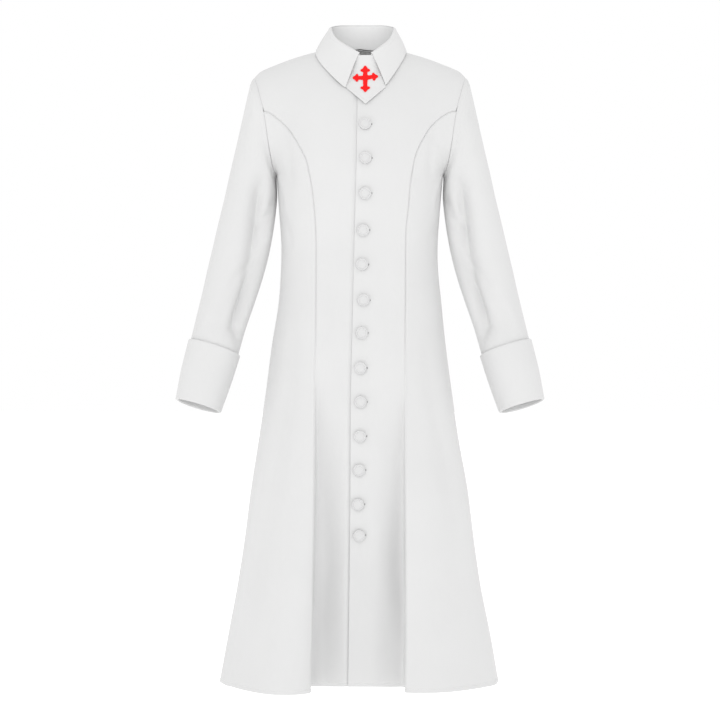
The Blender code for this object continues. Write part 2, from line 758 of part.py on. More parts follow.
def cuff(name, side):
    """Turned-back cuff: a tube a little wider than the sleeve, with a lip turned in under the sleeve's end."""
    angles = armhole_angles()
    rows = list(range(CUFF_FIRST_ROW, len(SLEEVE_ROWS)))
    outer = []
    inner = []
    for number, row in enumerate(rows):
        slack = 0.0022 if number == 0 else 0.0012
        outer.append([sleeve_point(side, row, angle, slack + WALL) for angle in angles])
        inner.append([sleeve_point(side, row, angle, slack) for angle in angles])
    count = len(angles)
    ways = [(outer[-2][column] - outer[-1][column]).normalized() for column in range(count)]
    inner[-1] = [point + way * WALL for point, way in zip(inner[-1], ways)]
    lip_top = [sleeve_point(side, rows[-1], angle, -CUFF_LIP) + way * WALL for angle, way in zip(angles, ways)]
    lip_low = [sleeve_point(side, rows[-1], angle, -CUFF_LIP) for angle in angles]
    loop = [outer[0]] + outer[1:] + [lip_low, lip_top] + list(reversed(inner))
    form = bmesh.new()
    made = [[form.verts.new(point) for point in ring] for ring in loop]
    for number in range(len(made)):
        here = made[number]
        there = made[(number + 1) % len(made)]
        for column in range(count):
            after = (column + 1) % count
            form.faces.new((here[column], here[after], there[after], there[column]))
    bmesh.ops.recalc_face_normals(form, faces=form.faces)
    for face in form.faces:
        face.smooth = True
    mesh = bpy.data.meshes.new(name)
    form.to_mesh(mesh)
    form.free()
    return new_object(name, mesh, WHITE_CLOTH, 0.75)


def neck_ring():
    """Neckline points from one front end round the back to the other, with their place along the ring."""
    ring = []
    front = shares(NECK_STEPS)
    back = shares(NECK_STEPS)
    for side in (-1, 1):
        half = []
        for share in front:
            turn, rise = neck_place(-1, share)
            half.append((1.0 - 0.5 * share, body(side, turn, rise)))
        for share in reversed(back[:-1]):
            turn, rise = neck_place(1, share)
            half.append((0.5 * share, body(side, 2.0 - turn, rise)))
        if side < 0:
            ring = [(-place, point) for place, point in half]
        else:
            ring += [(place, point) for place, point in reversed(half[:-1])]
    return ring


def collar_line(table, names, share, up):
    """Point of a collar line at a share of the way from centre back (0) to either front end (1 or -1)."""
    half = along(table, names, "half", abs(share))
    if share < 0.0:
        half = -half
    depth = along(table, names, "depth", abs(share))
    height = along(table, names, "height", abs(share))
    ahead = smooth((abs(share) - 0.3) / 0.7)
    return Vector((half + up * COLLAR_SHIFT_TOP + ahead * COLLAR_SHIFT_FRONT, depth, height))


def collar_stand():
    """Band that rises from the neckline to the collar's fold."""
    ring = neck_ring()
    levels = (0.0, 0.35, 0.7, 1.0)
    outer = []
    for level in levels:
        line = []
        for share, base in ring:
            base = base.copy()
            if abs(share) > 0.999:
                base = body(1, STAND_END_TURN, NECK_RISE_FRONT + 0.005)
                base.x += 0.0006 if share > 0.0 else -0.0006
            top = collar_line(FOLD_LINE, NECK_NAMES, share, 1.0)
            point = base.lerp(top, level)
            point.z += (0.0008 + 0.0014 * smooth((abs(share) - 0.8) / 0.15)) * (1.0 - level)
            line.append(point)
        outer.append(line)
    normals = grid_normals(outer, False)
    if normals[1][2 * NECK_STEPS].y < 0.0:
        normals = [[-way for way in line] for line in normals]
    inner = [[point - way * WALL for point, way in zip(line, ways)] for line, ways in zip(outer, normals)]
    return new_object("collar_stand", wall_mesh("collar_stand", outer, inner), WHITE_CLOTH, 0.75)


def leaf_edge_point(share):
    """Outer edge of the leaf, lying just over the front where it reaches it."""
    edge = collar_line(LEAF_EDGE, LEAF_EDGE_NAMES, share, 0.3 + 0.7 * smooth((abs(share) - 0.5) / 0.5))
    if abs(share) > 0.5:
        on_front = front_point(edge.x, min(edge.z, -0.006), LEAF_LIFT)
        edge = edge.lerp(on_front, smooth((abs(share) - 0.5) / 0.08))
    return edge


def leaf_points(count_round, levels):
    """Outer face of the collar leaf: from the fold, over the roll and down to the outer edge."""
    columns = []
    for number in range(count_round + 1):
        share = -1.0 + 2.0 * number / count_round
        fold = collar_line(FOLD_LINE, NECK_NAMES, share, 1.0)
        ahead = collar_line(FOLD_LINE, NECK_NAMES, min(share + 0.01, 1.0), 1.0)
        behind = collar_line(FOLD_LINE, NECK_NAMES, max(share - 0.01, -1.0), 1.0)
        tangent = (ahead - behind).normalized()
        edge = leaf_edge_point(share)
        way = Vector((tangent.y, -tangent.x, 0.0)).normalized()
        if way.dot(edge - fold) < 0.0:
            way = -way
        up = Vector((0.0, 0.0, 1.0))
        up = (up - tangent * tangent.z).normalized()
        roll = 0.0052 + 0.0012 * smooth((abs(share) - 0.7) / 0.25)
        base = fold + up * (WALL + 0.0013) - way * 0.0012
        start = base + way * (roll + 0.0012) - up * roll
        column = []
        for level in levels:
            if level < 0.2:
                angle = 0.5 * math.pi * level / 0.2
                point = base + way * (roll + 0.0012) * math.sin(angle) - up * roll * (1.0 - math.cos(angle))
            else:
                down = (level - 0.2) / 0.8
                point = start.lerp(edge, down)
                point += way * 0.0050 * math.sin(math.pi * down) * (1.0 - 0.4 * abs(share))
            column.append(point)
        columns.append(column)
    return [list(line) for line in zip(*columns)]


def collar_leaf():
    """Fold-over leaf of the collar with its two points."""
    outer = leaf_points(4 * NECK_STEPS, (0.0, 0.1, 0.2, 0.36, 0.52, 0.68, 0.84, 1.0))
    normals = grid_normals(outer, False)
    if normals[4][2 * NECK_STEPS].y < 0.0:
        normals = [[-way for way in line] for line in normals]
    inner = [[point - way * WALL for point, way in zip(line, ways)] for line, ways in zip(outer, normals)]
    return new_object("collar_leaf", wall_mesh("collar_leaf", outer, inner), WHITE_CLOTH, 0.75)


def tab_surface(world, height, lift):
    """Point on the neck tab's front face, which runs from the stand down to the chest."""
    depth = along(TAB_PROFILE, TAB_NAMES, "depth", height)
    away = world - TAB_CENTRE
    upper = depth + 5.6 * away * away - lift
    if height > -0.042:
        return Vector((world, upper, height))
    lower = front_point(world, height, lift + 0.0014).y
    share = smooth((-0.042 - height) / 0.022)
    return Vector((world, upper + (lower - upper) * share, height))


def tab_half(height):
    if height > TAB_SIDE_HEIGHT:
        share = (TAB_TOP_HEIGHT - height) / (TAB_TOP_HEIGHT - TAB_SIDE_HEIGHT)
        return TAB_TOP_HALF + (TAB_SIDE_HALF - TAB_TOP_HALF) * share
    share = (height - TAB_POINT_HEIGHT) / (TAB_SIDE_HEIGHT - TAB_POINT_HEIGHT)
    return 0.0012 + (TAB_SIDE_HALF - 0.0012) * share


def neck_tab():
    """Five-sided tab between the collar points."""
    heights = [TAB_POINT_HEIGHT + (TAB_SIDE_HEIGHT - TAB_POINT_HEIGHT) * share for share in shares(4)]
    heights += [TAB_SIDE_HEIGHT + (TAB_TOP_HEIGHT - TAB_SIDE_HEIGHT) * share for share in shares(9)[1:]]
    outer = []
    inner = []
    for height in heights:
        half = tab_half(height)
        places = [TAB_CENTRE + half * (2.0 * share - 1.0) for share in shares(8)]
        outer.append([tab_surface(place, height, WALL) for place in places])
        inner.append([tab_surface(place, height, 0.0) for place in places])
    return new_object("neck_tab", wall_mesh("neck_tab", outer, inner), WHITE_CLOTH, 0.75)


def cross_plan():
    """Flat plan of the budded cross: vertices and faces, each arm ending in a three-lobed bud."""
    points = [(-CROSS_BAR, -CROSS_BAR), (CROSS_BAR, -CROSS_BAR), (CROSS_BAR, CROSS_BAR), (-CROSS_BAR, CROSS_BAR)]
    faces = [(0, 1, 2, 3)]
    for arm in range(4):
        turn = 0.5 * math.pi * arm
        length = CROSS_FOOT if arm == 0 else CROSS_ARM
        along_arm = (math.sin(turn), -math.cos(turn))
        across = (math.cos(turn), math.sin(turn))
        left = arm
        right = (arm + 1) % 4
        for step in (1, 2, 3):
            reach = CROSS_BAR + (length - CROSS_BAR - 0.004) * step / 3.0
            first = len(points)
            for sign in (-1.0, 1.0):
                points.append((along_arm[0] * reach + across[0] * sign * CROSS_BAR,
                               along_arm[1] * reach + across[1] * sign * CROSS_BAR))
            faces.append((left, right, first + 1, first))
            left = first
            right = first + 1
        middle = (along_arm[0] * length, along_arm[1] * length)
        centre = len(points)
        points.append(middle)
        ring = [right]
        steps = 16
        for step in range(1, steps):
            angle = 0.78 * math.pi * (1.0 - 2.0 * step / steps)
            lobe = CROSS_BUD * (0.66 + 0.34 * abs(math.cos(1.5 * angle * 1.28)))
            ring.append(len(points))
            points.append((middle[0] + along_arm[0] * lobe * math.cos(angle) + across[0] * lobe * math.sin(angle),
                           middle[1] + along_arm[1] * lobe * math.cos(angle) + across[1] * lobe * math.sin(angle)))
        ring.append(left)
        for first, second in zip(ring, ring[1:]):
            faces.append((centre, first, second))
        faces.append((centre, left, right))
    return points, faces


def cross():
    """Red cross that lies on the tab, following its curve."""
    points, faces = cross_plan()
    form = bmesh.new()
    over = []
    under = []
    for across, up in points:
        place = TAB_CENTRE - 0.0006 + across
        height = CROSS_CENTRE + up
        over.append(form.verts.new(tab_surface(place, height, WALL + 0.0020)))
        under.append(form.verts.new(tab_surface(place, height, WALL + 0.0009)))
    edges = {}
    for face in faces:
        form.faces.new([over[number] for number in face])
        form.faces.new([under[number] for number in reversed(face)])
        for first, second in zip(face, face[1:] + face[:1]):
            key = (min(first, second), max(first, second))
            edges[key] = edges.get(key, 0) + 1
    for (first, second), uses in edges.items():
        if uses == 1:
            form.faces.new((over[first], over[second], under[second], under[first]))
    bmesh.ops.recalc_face_normals(form, faces=form.faces)
    mesh = bpy.data.meshes.new("cross")
    form.to_mesh(mesh)
    form.free()
    return new_object("cross", mesh, RED_THREAD, 0.6)


def button(number, place, height):
    """Domed self-covered button, spun from its profile and set on the upper layer."""
    profile = (
        (0.0000, 0.0000), (0.0085, 0.0006), (0.0119, 0.0016), (0.0125, 0.0028), (0.0112, 0.0043),
        (0.0070, 0.0057), (0.0000, 0.0062),
    )
    form = bmesh.new()
    line = [form.verts.new((radius * BUTTON_RADIUS / 0.0125, 0.0, lift)) for radius, lift in profile]
    edges = [form.edges.new((first, second)) for first, second in zip(line, line[1:])]
    bmesh.ops.spin(form, geom=line + edges, cent=(0.0, 0.0, 0.0), axis=(0.0, 0.0, 1.0), dvec=(0.0, 0.0, 0.0),
                   angle=2.0 * math.pi, steps=BUTTON_SIDES, use_duplicate=False)
    bmesh.ops.remove_doubles(form, verts=form.verts, dist=0.00005)
    bmesh.ops.recalc_face_normals(form, faces=form.faces)
    for face in form.faces:
        face.smooth = True
    mesh = bpy.data.meshes.new("button_%02d" % number)
    form.to_mesh(mesh)
    form.free()
    piece = new_object("button_%02d" % number, mesh, WHITE_BUTTON, 0.6)
    turn, rise = place_on_front(1, place, height)
    normal = body_normal(1, turn, rise)
    piece.location = body(1, turn, rise) + normal * 0.0004
    piece.rotation_euler = normal.to_track_quat("Z", "Y").to_euler()
    return piece


def clear_scene():
    for thing in list(bpy.data.objects):
        bpy.data.objects.remove(thing, do_unlink=True)


def main():
    clear_scene()
    root = bpy.data.objects.new("clergy_robe", None)
    bpy.context.scene.collection.objects.link(root)
    for side in (-1, 1):
        name = side_name(side)
        panel("front_" + name, side, front_places(side), ("last_row", "first_column", "last_column"))
        panel("side_front_" + name, side, side_front_places(side), ("last_row", "first_column", "last_column"))
        panel("back_" + name, side, back_places(side), ("last_row", "first_column", "last_column"))
        sleeve("sleeve_" + name, side)
        cuff("cuff_" + name, side)
    collar_stand()
    collar_leaf()
    neck_tab()
    cross()
    for number, row in enumerate(BUTTONS, 1):
        button(number, row[BUTTON_NAMES.index("place")], row[BUTTON_NAMES.index("height")])


main()
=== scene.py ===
import math

import bmesh
import bpy
import numpy as np
from mathutils import Matrix, Vector
from mathutils.bvhtree import BVHTree


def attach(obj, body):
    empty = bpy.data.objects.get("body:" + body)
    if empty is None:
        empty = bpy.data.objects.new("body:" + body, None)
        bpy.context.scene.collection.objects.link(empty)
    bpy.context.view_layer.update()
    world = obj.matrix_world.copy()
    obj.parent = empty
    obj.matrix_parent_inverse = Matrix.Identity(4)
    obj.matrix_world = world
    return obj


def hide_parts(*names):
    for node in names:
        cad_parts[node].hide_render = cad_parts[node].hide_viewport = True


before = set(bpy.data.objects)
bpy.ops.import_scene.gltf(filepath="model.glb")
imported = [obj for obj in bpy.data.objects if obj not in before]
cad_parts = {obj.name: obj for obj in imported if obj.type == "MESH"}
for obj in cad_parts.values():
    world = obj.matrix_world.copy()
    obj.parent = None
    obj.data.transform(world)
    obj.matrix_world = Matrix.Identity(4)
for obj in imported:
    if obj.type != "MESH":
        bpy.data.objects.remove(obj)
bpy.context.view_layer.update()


class Table:
    """Rows of numbers with named columns, the first of which gives a row's place."""

    def __init__(self, names, rows):
        self.names = names.split()
        self.rows = rows

    def named(self):
        return [dict(zip(self.names, row)) for row in self.rows]

    def __call__(self, name, place):
        """Read one column at a place, with a smooth curve through the rows."""
        column = self.names.index(name)
        last = len(self.rows) - 2
        step = 0
        while step < last and place > self.rows[step + 1][0]:
            step += 1
        start = self.rows[step]
        end = self.rows[step + 1]
        width = end[0] - start[0]
        slope = (end[column] - start[column]) / width
        before = after = slope
        if step > 0:
            earlier = self.rows[step - 1]
            before = 0.5 * (slope + (start[column] - earlier[column]) / (start[0] - earlier[0]))
        if step < last:
            later = self.rows[step + 2]
            after = 0.5 * (slope + (later[column] - end[column]) / (later[0] - end[0]))
        share = (place - start[0]) / width
        if share < 0.0:
            return start[column] + before * (place - start[0])
        if share > 1.0:
            return end[column] + after * (place - end[0])
        square = share * share
        cube = square * share
        value = (2.0 * cube - 3.0 * square + 1.0) * start[column] + (3.0 * square - 2.0 * cube) * end[column]
        return value + (cube - 2.0 * square + share) * width * before + (cube - square) * width * after


# Form of the robe, as its solids have it
WALL = 0.0018
HEM_HEIGHT = -1.298
KNEE_HEIGHT = -0.66
WAIST_HEIGHT = -0.40
UNDERARM_HEIGHT = -0.255
RISE_STEP = 0.25
SHOULDER_HALF = 0.218
SHOULDER_HEIGHT = -0.0515
RIDGE_DEPTH = 0.010
NECK_HALF = 0.075
CHEST_FRONT = 0.126
CHEST_BACK = 0.110
CHEST_ROUND_CENTRE = 1.7
CHEST_ROUND_BACK = 2.3
ARMHOLE_FRONT = 0.058
ARMHOLE_BACK = 0.056
NECK_RISE_FRONT = 0.558
NECK_RISE_BACK = 0.747
PRINCESS_TOP_RISE = 0.582
FOLD_ROUND = 0.012
VALLEY_SPREAD = 0.6
BACK_FOLD = 0.022
UNDER_LAP = 0.034
LAP_GAP = 0.0009

SECTIONS = Table("height right left front back seam_right seam_left fold bulge_right bulge_left", (
    (-1.298, 0.290, 0.287, 0.067, 0.150, 0.0983, 0.0895, 0.073, 0.045, 0.017),
    (-1.200, 0.273, 0.271, 0.078, 0.146, 0.0965, 0.0905, 0.062, 0.037, 0.013),
    (-1.100, 0.255, 0.251, 0.087, 0.142, 0.0945, 0.0910, 0.048, 0.025, 0.008),
    (-1.000, 0.239, 0.235, 0.096, 0.138, 0.0930, 0.0910, 0.036, 0.017, 0.005),
    (-0.900, 0.225, 0.221, 0.104, 0.134, 0.0915, 0.0910, 0.025, 0.010, 0.003),
    (-0.800, 0.209, 0.203, 0.110, 0.130, 0.0912, 0.0910, 0.014, 0.005, 0.001),
    (-0.700, 0.194, 0.189, 0.114, 0.126, 0.0910, 0.0910, 0.004, 0.001, 0.000),
    (-0.600, 0.181, 0.176, 0.116, 0.120, 0.0903, 0.0918, 0.000, 0.000, 0.000),
    (-0.520, 0.168, 0.168, 0.113, 0.109, 0.0897, 0.0926, 0.000, 0.000, 0.000),
    (-0.450, 0.163, 0.161, 0.108, 0.096, 0.0896, 0.0932, 0.000, 0.000, 0.000),
    (-0.400, 0.162, 0.160, 0.108, 0.091, 0.0897, 0.0936, 0.000, 0.000, 0.000),
    (-0.330, 0.1665, 0.1645, 0.118, 0.098, 0.0934, 0.0990, 0.000, 0.000, 0.000),
    (-0.255, 0.172, 0.171, 0.126, 0.110, 0.1050, 0.1070, 0.000, 0.000, 0.000),
))
PRINCESS = Table("height right left", (
    (-0.400, 0.0897, 0.0936),
    (-0.371, 0.0902, 0.0942),
    (-0.324, 0.0936, 0.0990),
    (-0.283, 0.0987, 0.1025),
    (-0.242, 0.1065, 0.1085),
    (-0.205, 0.1225, 0.1200),
    (-0.172, 0.1430, 0.1385),
    (-0.143, 0.1700, 0.1640),
))
ARMHOLE = Table("height out", (
    (-0.255, 0.1715),
    (-0.242, 0.1775),
    (-0.220, 0.1825),
    (-0.190, 0.1875),
    (-0.155, 0.1925),
    (-0.122, 0.1980),
    (-0.090, 0.2060),
    (-0.068, 0.2125),
    (-0.0515, 0.2180),
))
RIDGE = Table("share front back", (
    (0.000, 0.0150, 0.0340),
    (0.150, 0.0132, 0.0260),
    (0.344, 0.0060, 0.0060),
    (0.430, 0.0008, 0.0008),
    (0.570, -0.0078, -0.0078),
    (0.680, -0.0156, -0.0156),
    (0.775, -0.0235, -0.0235),
    (0.867, -0.0315, -0.0315),
    (0.950, -0.0405, -0.0405),
    (1.000, -0.0515, -0.0515),
))
FRONT_EDGE = Table("height place", (
    (-1.298, -0.0240),
    (-0.920, -0.0195),
    (-0.720, -0.0185),
    (-0.500, -0.0135),
    (-0.100, -0.0050),
    (-0.030, -0.0040),
))
SLEEVE_ROWS = Table("row out out_height in in_height depth forward tilt", (
    (0, 0.2268, -0.0680, 0.1738, -0.2640, 0.0600, -0.002, 0),
    (1, 0.2350, -0.1030, 0.1732, -0.2740, 0.0620, -0.003, 0),
    (2, 0.2440, -0.1430, 0.1726, -0.2850, 0.0630, -0.004, 0),
    (3, 0.2555, -0.1940, 0.1722, -0.2990, 0.0630, -0.005, 0),
    (4, 0.2680, -0.2470, 0.1728, -0.3180, 0.0625, -0.005, 1),
    (5, 0.2800, -0.3020, 0.1752, -0.3420, 0.0615, -0.004, 2),
    (6, 0.2920, -0.3520, 0.1800, -0.3760, 0.0605, -0.001, 3),
    (7, 0.3030, -0.4010, 0.1890, -0.4230, 0.0600, 0.003, 4),
    (8, 0.3140, -0.4490, 0.2020, -0.4720, 0.0590, 0.008, 5),
    (9, 0.3240, -0.4960, 0.2175, -0.5200, 0.0580, 0.014, 6),
    (10, 0.3355, -0.5460, 0.2345, -0.5700, 0.0565, 0.020, 8),
    (11, 0.3465, -0.5930, 0.2480, -0.6180, 0.0550, 0.026, 9),
    (12, 0.3620, -0.6560, 0.2670, -0.6810, 0.0545, 0.034, 9),
    (13, 0.3735, -0.7170, 0.2880, -0.7420, 0.0540, 0.041, 9),
))
ARMPIT_TUCK = 0.0052
ARMPIT_ANGLE = 322.0
CUFF_TOP_ROW = 11.0
CUFF_END_ROW = 13.0

FOLD_LINE = Table("share half depth height", (
    (0.00, 0.0000, 0.0600, 0.0625),
    (0.12, 0.0250, 0.0560, 0.0620),
    (0.25, 0.0470, 0.0420, 0.0595),
    (0.38, 0.0610, 0.0230, 0.0540),
    (0.50, 0.0655, 0.0050, 0.0490),
    (0.62, 0.0632, -0.0150, 0.0385),
    (0.75, 0.0532, -0.0350, 0.0200),
    (0.88, 0.0340, -0.0510, 0.0030),
    (1.00, 0.0130, -0.0605, -0.0128),
))
LEAF_EDGE = Table("share half depth height", (
    (0.00, 0.0000, 0.0850, 0.0100),
    (0.12, 0.0330, 0.0810, 0.0095),
    (0.25, 0.0640, 0.0650, 0.0080),
    (0.38, 0.0860, 0.0400, 0.0070),
    (0.50, 0.0935, 0.0080, 0.0060),
    (0.62, 0.0850, -0.0200, -0.0150),
    (0.75, 0.0700, -0.0480, -0.0370),
    (0.88, 0.0540, -0.0700, -0.0610),
    (1.00, 0.0405, -0.0850, -0.0820),
))
LEAF_LIFT = 0.0053
LEAF_SEAT = 0.0033
LEAF_SWELL_OUT = 0.0085
LEAF_SWELL_DOWN = 0.0075
LEAF_STITCH = 0.0050
# Roll of the leaf over the stand: its share of the leaf, height and reach, and the spring of the cloth below it
ROLL_SHARE = 0.2
LEAF_ROLL = 0.0052
LEAF_ROLL_OUT = 0.0012
LEAF_SPRING = 0.0022
STAND_END_TURN = 0.052
COLLAR_SHIFT_TOP = 0.0035
COLLAR_SHIFT_FRONT = 0.0075

TAB_TOP_HALF = 0.0170
TAB_TOP_HEIGHT = -0.0155
TAB_SIDE_HALF = 0.0405
TAB_SIDE_HEIGHT = -0.0835
TAB_POINT_HEIGHT = -0.1185
TAB_CENTRE = 0.0112
TAB_STITCH = 0.0046
TAB_POINT_HALF = 0.0012
TAB_CURVE = 5.6
TAB_LOOSE_HEIGHT = -0.042
TAB_PROFILE = Table("height depth", (
    (-0.1300, -0.1060),
    (-0.1185, -0.1028),
    (-0.0860, -0.0905),
    (-0.0570, -0.0765),
    (-0.0350, -0.0686),
    (-0.0150, -0.0615),
))

BUTTON_RADIUS = 0.0125
BUTTON_LIFT = 0.0006
# Rings of a button from its rim inward: width and rise
BUTTON_RINGS = ((0.0008, 0.0008), (0.0009, 0.0001), (0.0008, -0.0015), (0.0009, -0.0001), (0.0012, 0.0009),
                (0.0024, 0.0003), (0.0026, 0.0001))
# Place across, height, turn and lean in degrees of each button
BUTTONS = Table("place height turn lean", (
    (0.0100, -0.162, 10, 3),
    (0.0108, -0.231, 75, -2),
    (0.0100, -0.301, 40, 4),
    (0.0060, -0.374, 130, 2),
    (0.0040, -0.443, 20, -3),
    (0.0068, -0.515, 95, 3),
    (0.0030, -0.581, 60, 5),
    (0.0010, -0.651, 150, -2),
    (0.0010, -0.719, 35, 2),
    (0.0000, -0.788, 110, -3),
    (-0.0020, -0.856, 80, 3),
    (-0.0040, -0.925, 15, -2),
    (-0.0020, -0.988, 55, 4),
))

# The cross: its middle, and for each arm its turn in degrees and its sizes
CROSS_CENTRE = -0.0638
CROSS_SHIFT = -0.0006
CROSS_ARMS = Table("turn bud tip lobe", (
    (0.0, 0.0222, 0.0312, 0.0094),
    (97.0, 0.0176, 0.0262, 0.0082),
    (180.0, 0.0160, 0.0254, 0.0094),
    (270.0, 0.0172, 0.0256, 0.0082),
))
ARM_HALF = 0.0044

# Thickness of the cloth and fineness of its grids
CLOTH = 0.0012
CUFF_CLOTH = 0.0009
COLLAR_CLOTH = 0.0015
STAND_CLOTH = 0.0016
EDGE_SHARES = (0.0, 0.005, 0.011, 0.020, 0.034, 0.055)
PANEL_MIDDLE = 40
SIDE_MIDDLE = 34
UPPER_ROWS = 66
NECK_ROWS = 22
BACK_ARM_ROWS = 44
ROW_STEP = 0.0095
HEM_ROWS = (0.0, 0.0009, 0.0022, 0.0040, 0.0056, 0.0066, 0.0074, 0.0083, 0.0098, 0.0125, 0.0165, 0.0220)
LAP_ROWS = 12

# Sewing: height of the hem's stitching, widths of the dip at a seam and of a stitched groove, size of a soft rim
HEM_LINE = 0.0074
SEAM_DIP = 0.0014
STITCH_GROOVE = 0.0008
PRINCESS_PRESS = (0.0024, 0.0017)
ARMHOLE_PRESS = (0.0006, 0.0012)
RIM_BEVEL = 0.0004
SMOOTH_ANGLE = math.radians(50.0)

# Fall of the lower centre front: its size and, for each side, the height at which it starts
RECESS = 0.027
RECESS_TOPS = {1: -0.62, -1: -0.53}
RECESS_RUN = 0.42

# Pitch, gap and radius of each kind of stitch, and the rings of one: share along it, share of radius, lift
STITCHES = {"hem": (0.0032, 0.0008, 0.00026), "leaf": (0.0030, 0.0007, 0.00022), "tab": (0.0028, 0.0006, 0.00020)}
STITCH_RINGS = ((0.0, 0.30, -0.7), (0.14, 0.80, -0.1), (0.5, 1.0, 0.25), (0.86, 0.80, -0.1), (1.0, 0.30, -0.7))
BUTTONHOLE_THREAD = 0.00030

# Metres for one step across and up in the tables of folds
BODY_SCALE = (0.27, 1.0)
SLEEVE_SCALE = (0.00098, 0.052)

# Folds of the robe: side 1 is the wearer's left; across is 0 at the centre front, 1 at the side, 2 at the centre back
BODY_FOLDS = Table("side across up end_across end_up width depth", (
    (-1, 0.60, -0.47, 0.66, -1.26, 0.020, -0.0040),
    (-1, 0.76, -0.60, 0.80, -1.31, 0.026, 0.0050),
    (-1, 0.90, -0.66, 0.93, -1.31, 0.022, -0.0045),
    (-1, 0.47, -0.80, 0.50, -1.31, 0.016, 0.0030),
    (1, 0.62, -0.50, 0.68, -1.20, 0.022, -0.0042),
    (1, 0.80, -0.56, 0.84, -1.31, 0.027, 0.0050),
    (1, 0.93, -0.74, 0.95, -1.31, 0.020, -0.0040),
    (1, 0.50, -0.86, 0.52, -1.31, 0.015, 0.0028),
    (-1, 0.80, -0.150, 0.56, -0.290, 0.014, -0.0022),
    (1, 0.80, -0.150, 0.57, -0.280, 0.015, -0.0022),
    (-1, 0.93, -0.205, 0.66, -0.350, 0.012, 0.0018),
    (1, 0.94, -0.215, 0.68, -0.340, 0.012, 0.0018),
    (-1, 0.95, -0.330, 0.60, -0.395, 0.014, -0.0017),
    (1, 0.96, -0.345, 0.62, -0.405, 0.013, -0.0016),
    (-1, 0.28, -0.420, 0.30, -0.640, 0.018, -0.0016),
    (1, 0.26, -0.440, 0.30, -0.660, 0.020, -0.0016),
    (-1, 0.20, -0.860, 0.22, -1.310, 0.016, -0.0035),
    (1, 0.16, -0.900, 0.17, -1.310, 0.020, 0.0032),
    (1, 0.28, -0.820, 0.27, -1.310, 0.015, -0.0036),
    (-1, 1.80, -0.330, 1.70, -0.520, 0.018, -0.0026),
    (1, 1.82, -0.340, 1.73, -0.540, 0.018, -0.0024),
    (-1, 1.25, -0.180, 1.45, -0.330, 0.015, -0.0024),
    (1, 1.25, -0.190, 1.44, -0.320, 0.016, -0.0022),
    (-1, 1.42, -0.520, 1.40, -1.310, 0.019, -0.0112),
    (-1, 1.66, -0.560, 1.62, -1.310, 0.025, 0.0086),
    (1, 1.44, -0.540, 1.43, -1.310, 0.020, -0.0104),
    (1, 1.70, -0.600, 1.66, -1.310, 0.024, 0.0084),
    (-1, 1.86, -0.660, 1.85, -1.310, 0.016, -0.0082),
    (1, 1.90, -0.700, 1.89, -1.310, 0.015, -0.0074),
    (-1, 1.55, -0.095, 1.50, -0.200, 0.016, 0.0020),
    (1, 1.54, -0.100, 1.50, -0.210, 0.017, 0.0020),
))
# Folds of a sleeve: up is its row, across the angle in degrees from the inner edge round the front
SLEEVE_FOLDS = Table("up across end_up end_across width depth", (
    (1.2, 51, 11.9, 58, 0.020, -0.0190),
    (1.4, 76, 11.9, 84, 0.024, -0.0060),
    (2.2, 30, 8.6, 28, 0.013, -0.0048),
    (6.6, 26, 12.6, 28, 0.016, -0.0105),
    (4.4, 24, 6.6, 62, 0.010, -0.0032),
    (5.6, 20, 8.0, 56, 0.011, 0.0028),
    (6.6, 34, 8.8, 92, 0.010, -0.0028),
    (5.2, 330, 7.0, 292, 0.011, -0.0034),
    (6.6, 336, 8.2, 284, 0.012, 0.0030),
    (3.0, 296, 11.4, 288, 0.020, -0.0060),
    (0.2, 150, 3.4, 132, 0.013, -0.0020),
    (0.2, 206, 3.2, 226, 0.013, -0.0022),
    (9.0, 130, 11.2, 108, 0.012, 0.0018),
))

# Studio: each light's place and power, what they point at, and the camera
LIGHTS = {"key": ((-0.55, -4.1, 1.5), 26.0), "back": ((0.55, 4.1, 1.5), 24.0)}
LIGHT_TARGET = (0.0, 0.0, -0.45)
LIGHT_SIZE = 1.2
CAMERA_PLACE = (0.0, -4.0, -0.635)
CAMERA_LENS = 96.9

# Grids and directions of the sheets by name, and the shared node groups
GRIDS = {}
GROUPS = {}


def smooth(value):
    value = min(max(value, 0.0), 1.0)
    return value * value * (3.0 - 2.0 * value)


def clamp(value):
    return np.clip(value, 0.0, 1.0)


def hump(value, centre, width):
    """Soft bump of height 1 round a centre."""
    return np.exp(-(((value - centre) / width) ** 2))


def halve(low, high, below, steps=26):
    """Place between two bounds at which a test turns from true to false."""
    for _ in range(steps):
        middle = 0.5 * (low + high)
        if below(middle):
            low = middle
        else:
            high = middle
    return 0.5 * (low + high)


def raised(grid, normals, height):
    return grid + normals * height[..., None]


def facing(normals, row, way):
    """Turn a sheet's directions so that the middle one of a row points to the back (1) or to the front (-1)."""
    return normals if way * normals[row][normals.shape[1] // 2][1] > 0.0 else -normals


def side_name(side):
    return "left" if side > 0 else "right"


def rise_of(height):
    return (height - UNDERARM_HEIGHT) / RISE_STEP


WAIST_RISE = rise_of(WAIST_HEIGHT)


def seam_turn(side):
    """Share of the quarter turn at which the princess seam runs from the waist down."""
    ratio = SECTIONS("seam_" + side_name(side), WAIST_HEIGHT) / SECTIONS(side_name(side), WAIST_HEIGHT)
    return math.asin(ratio) / (0.5 * math.pi)


SEAM_TURNS = {1: seam_turn(1), -1: seam_turn(-1)}


def hinge(value, soft):
    """The value where it is above nothing, and none below, with a soft change between them."""
    return 0.5 * (value + math.sqrt(value * value + soft * soft))


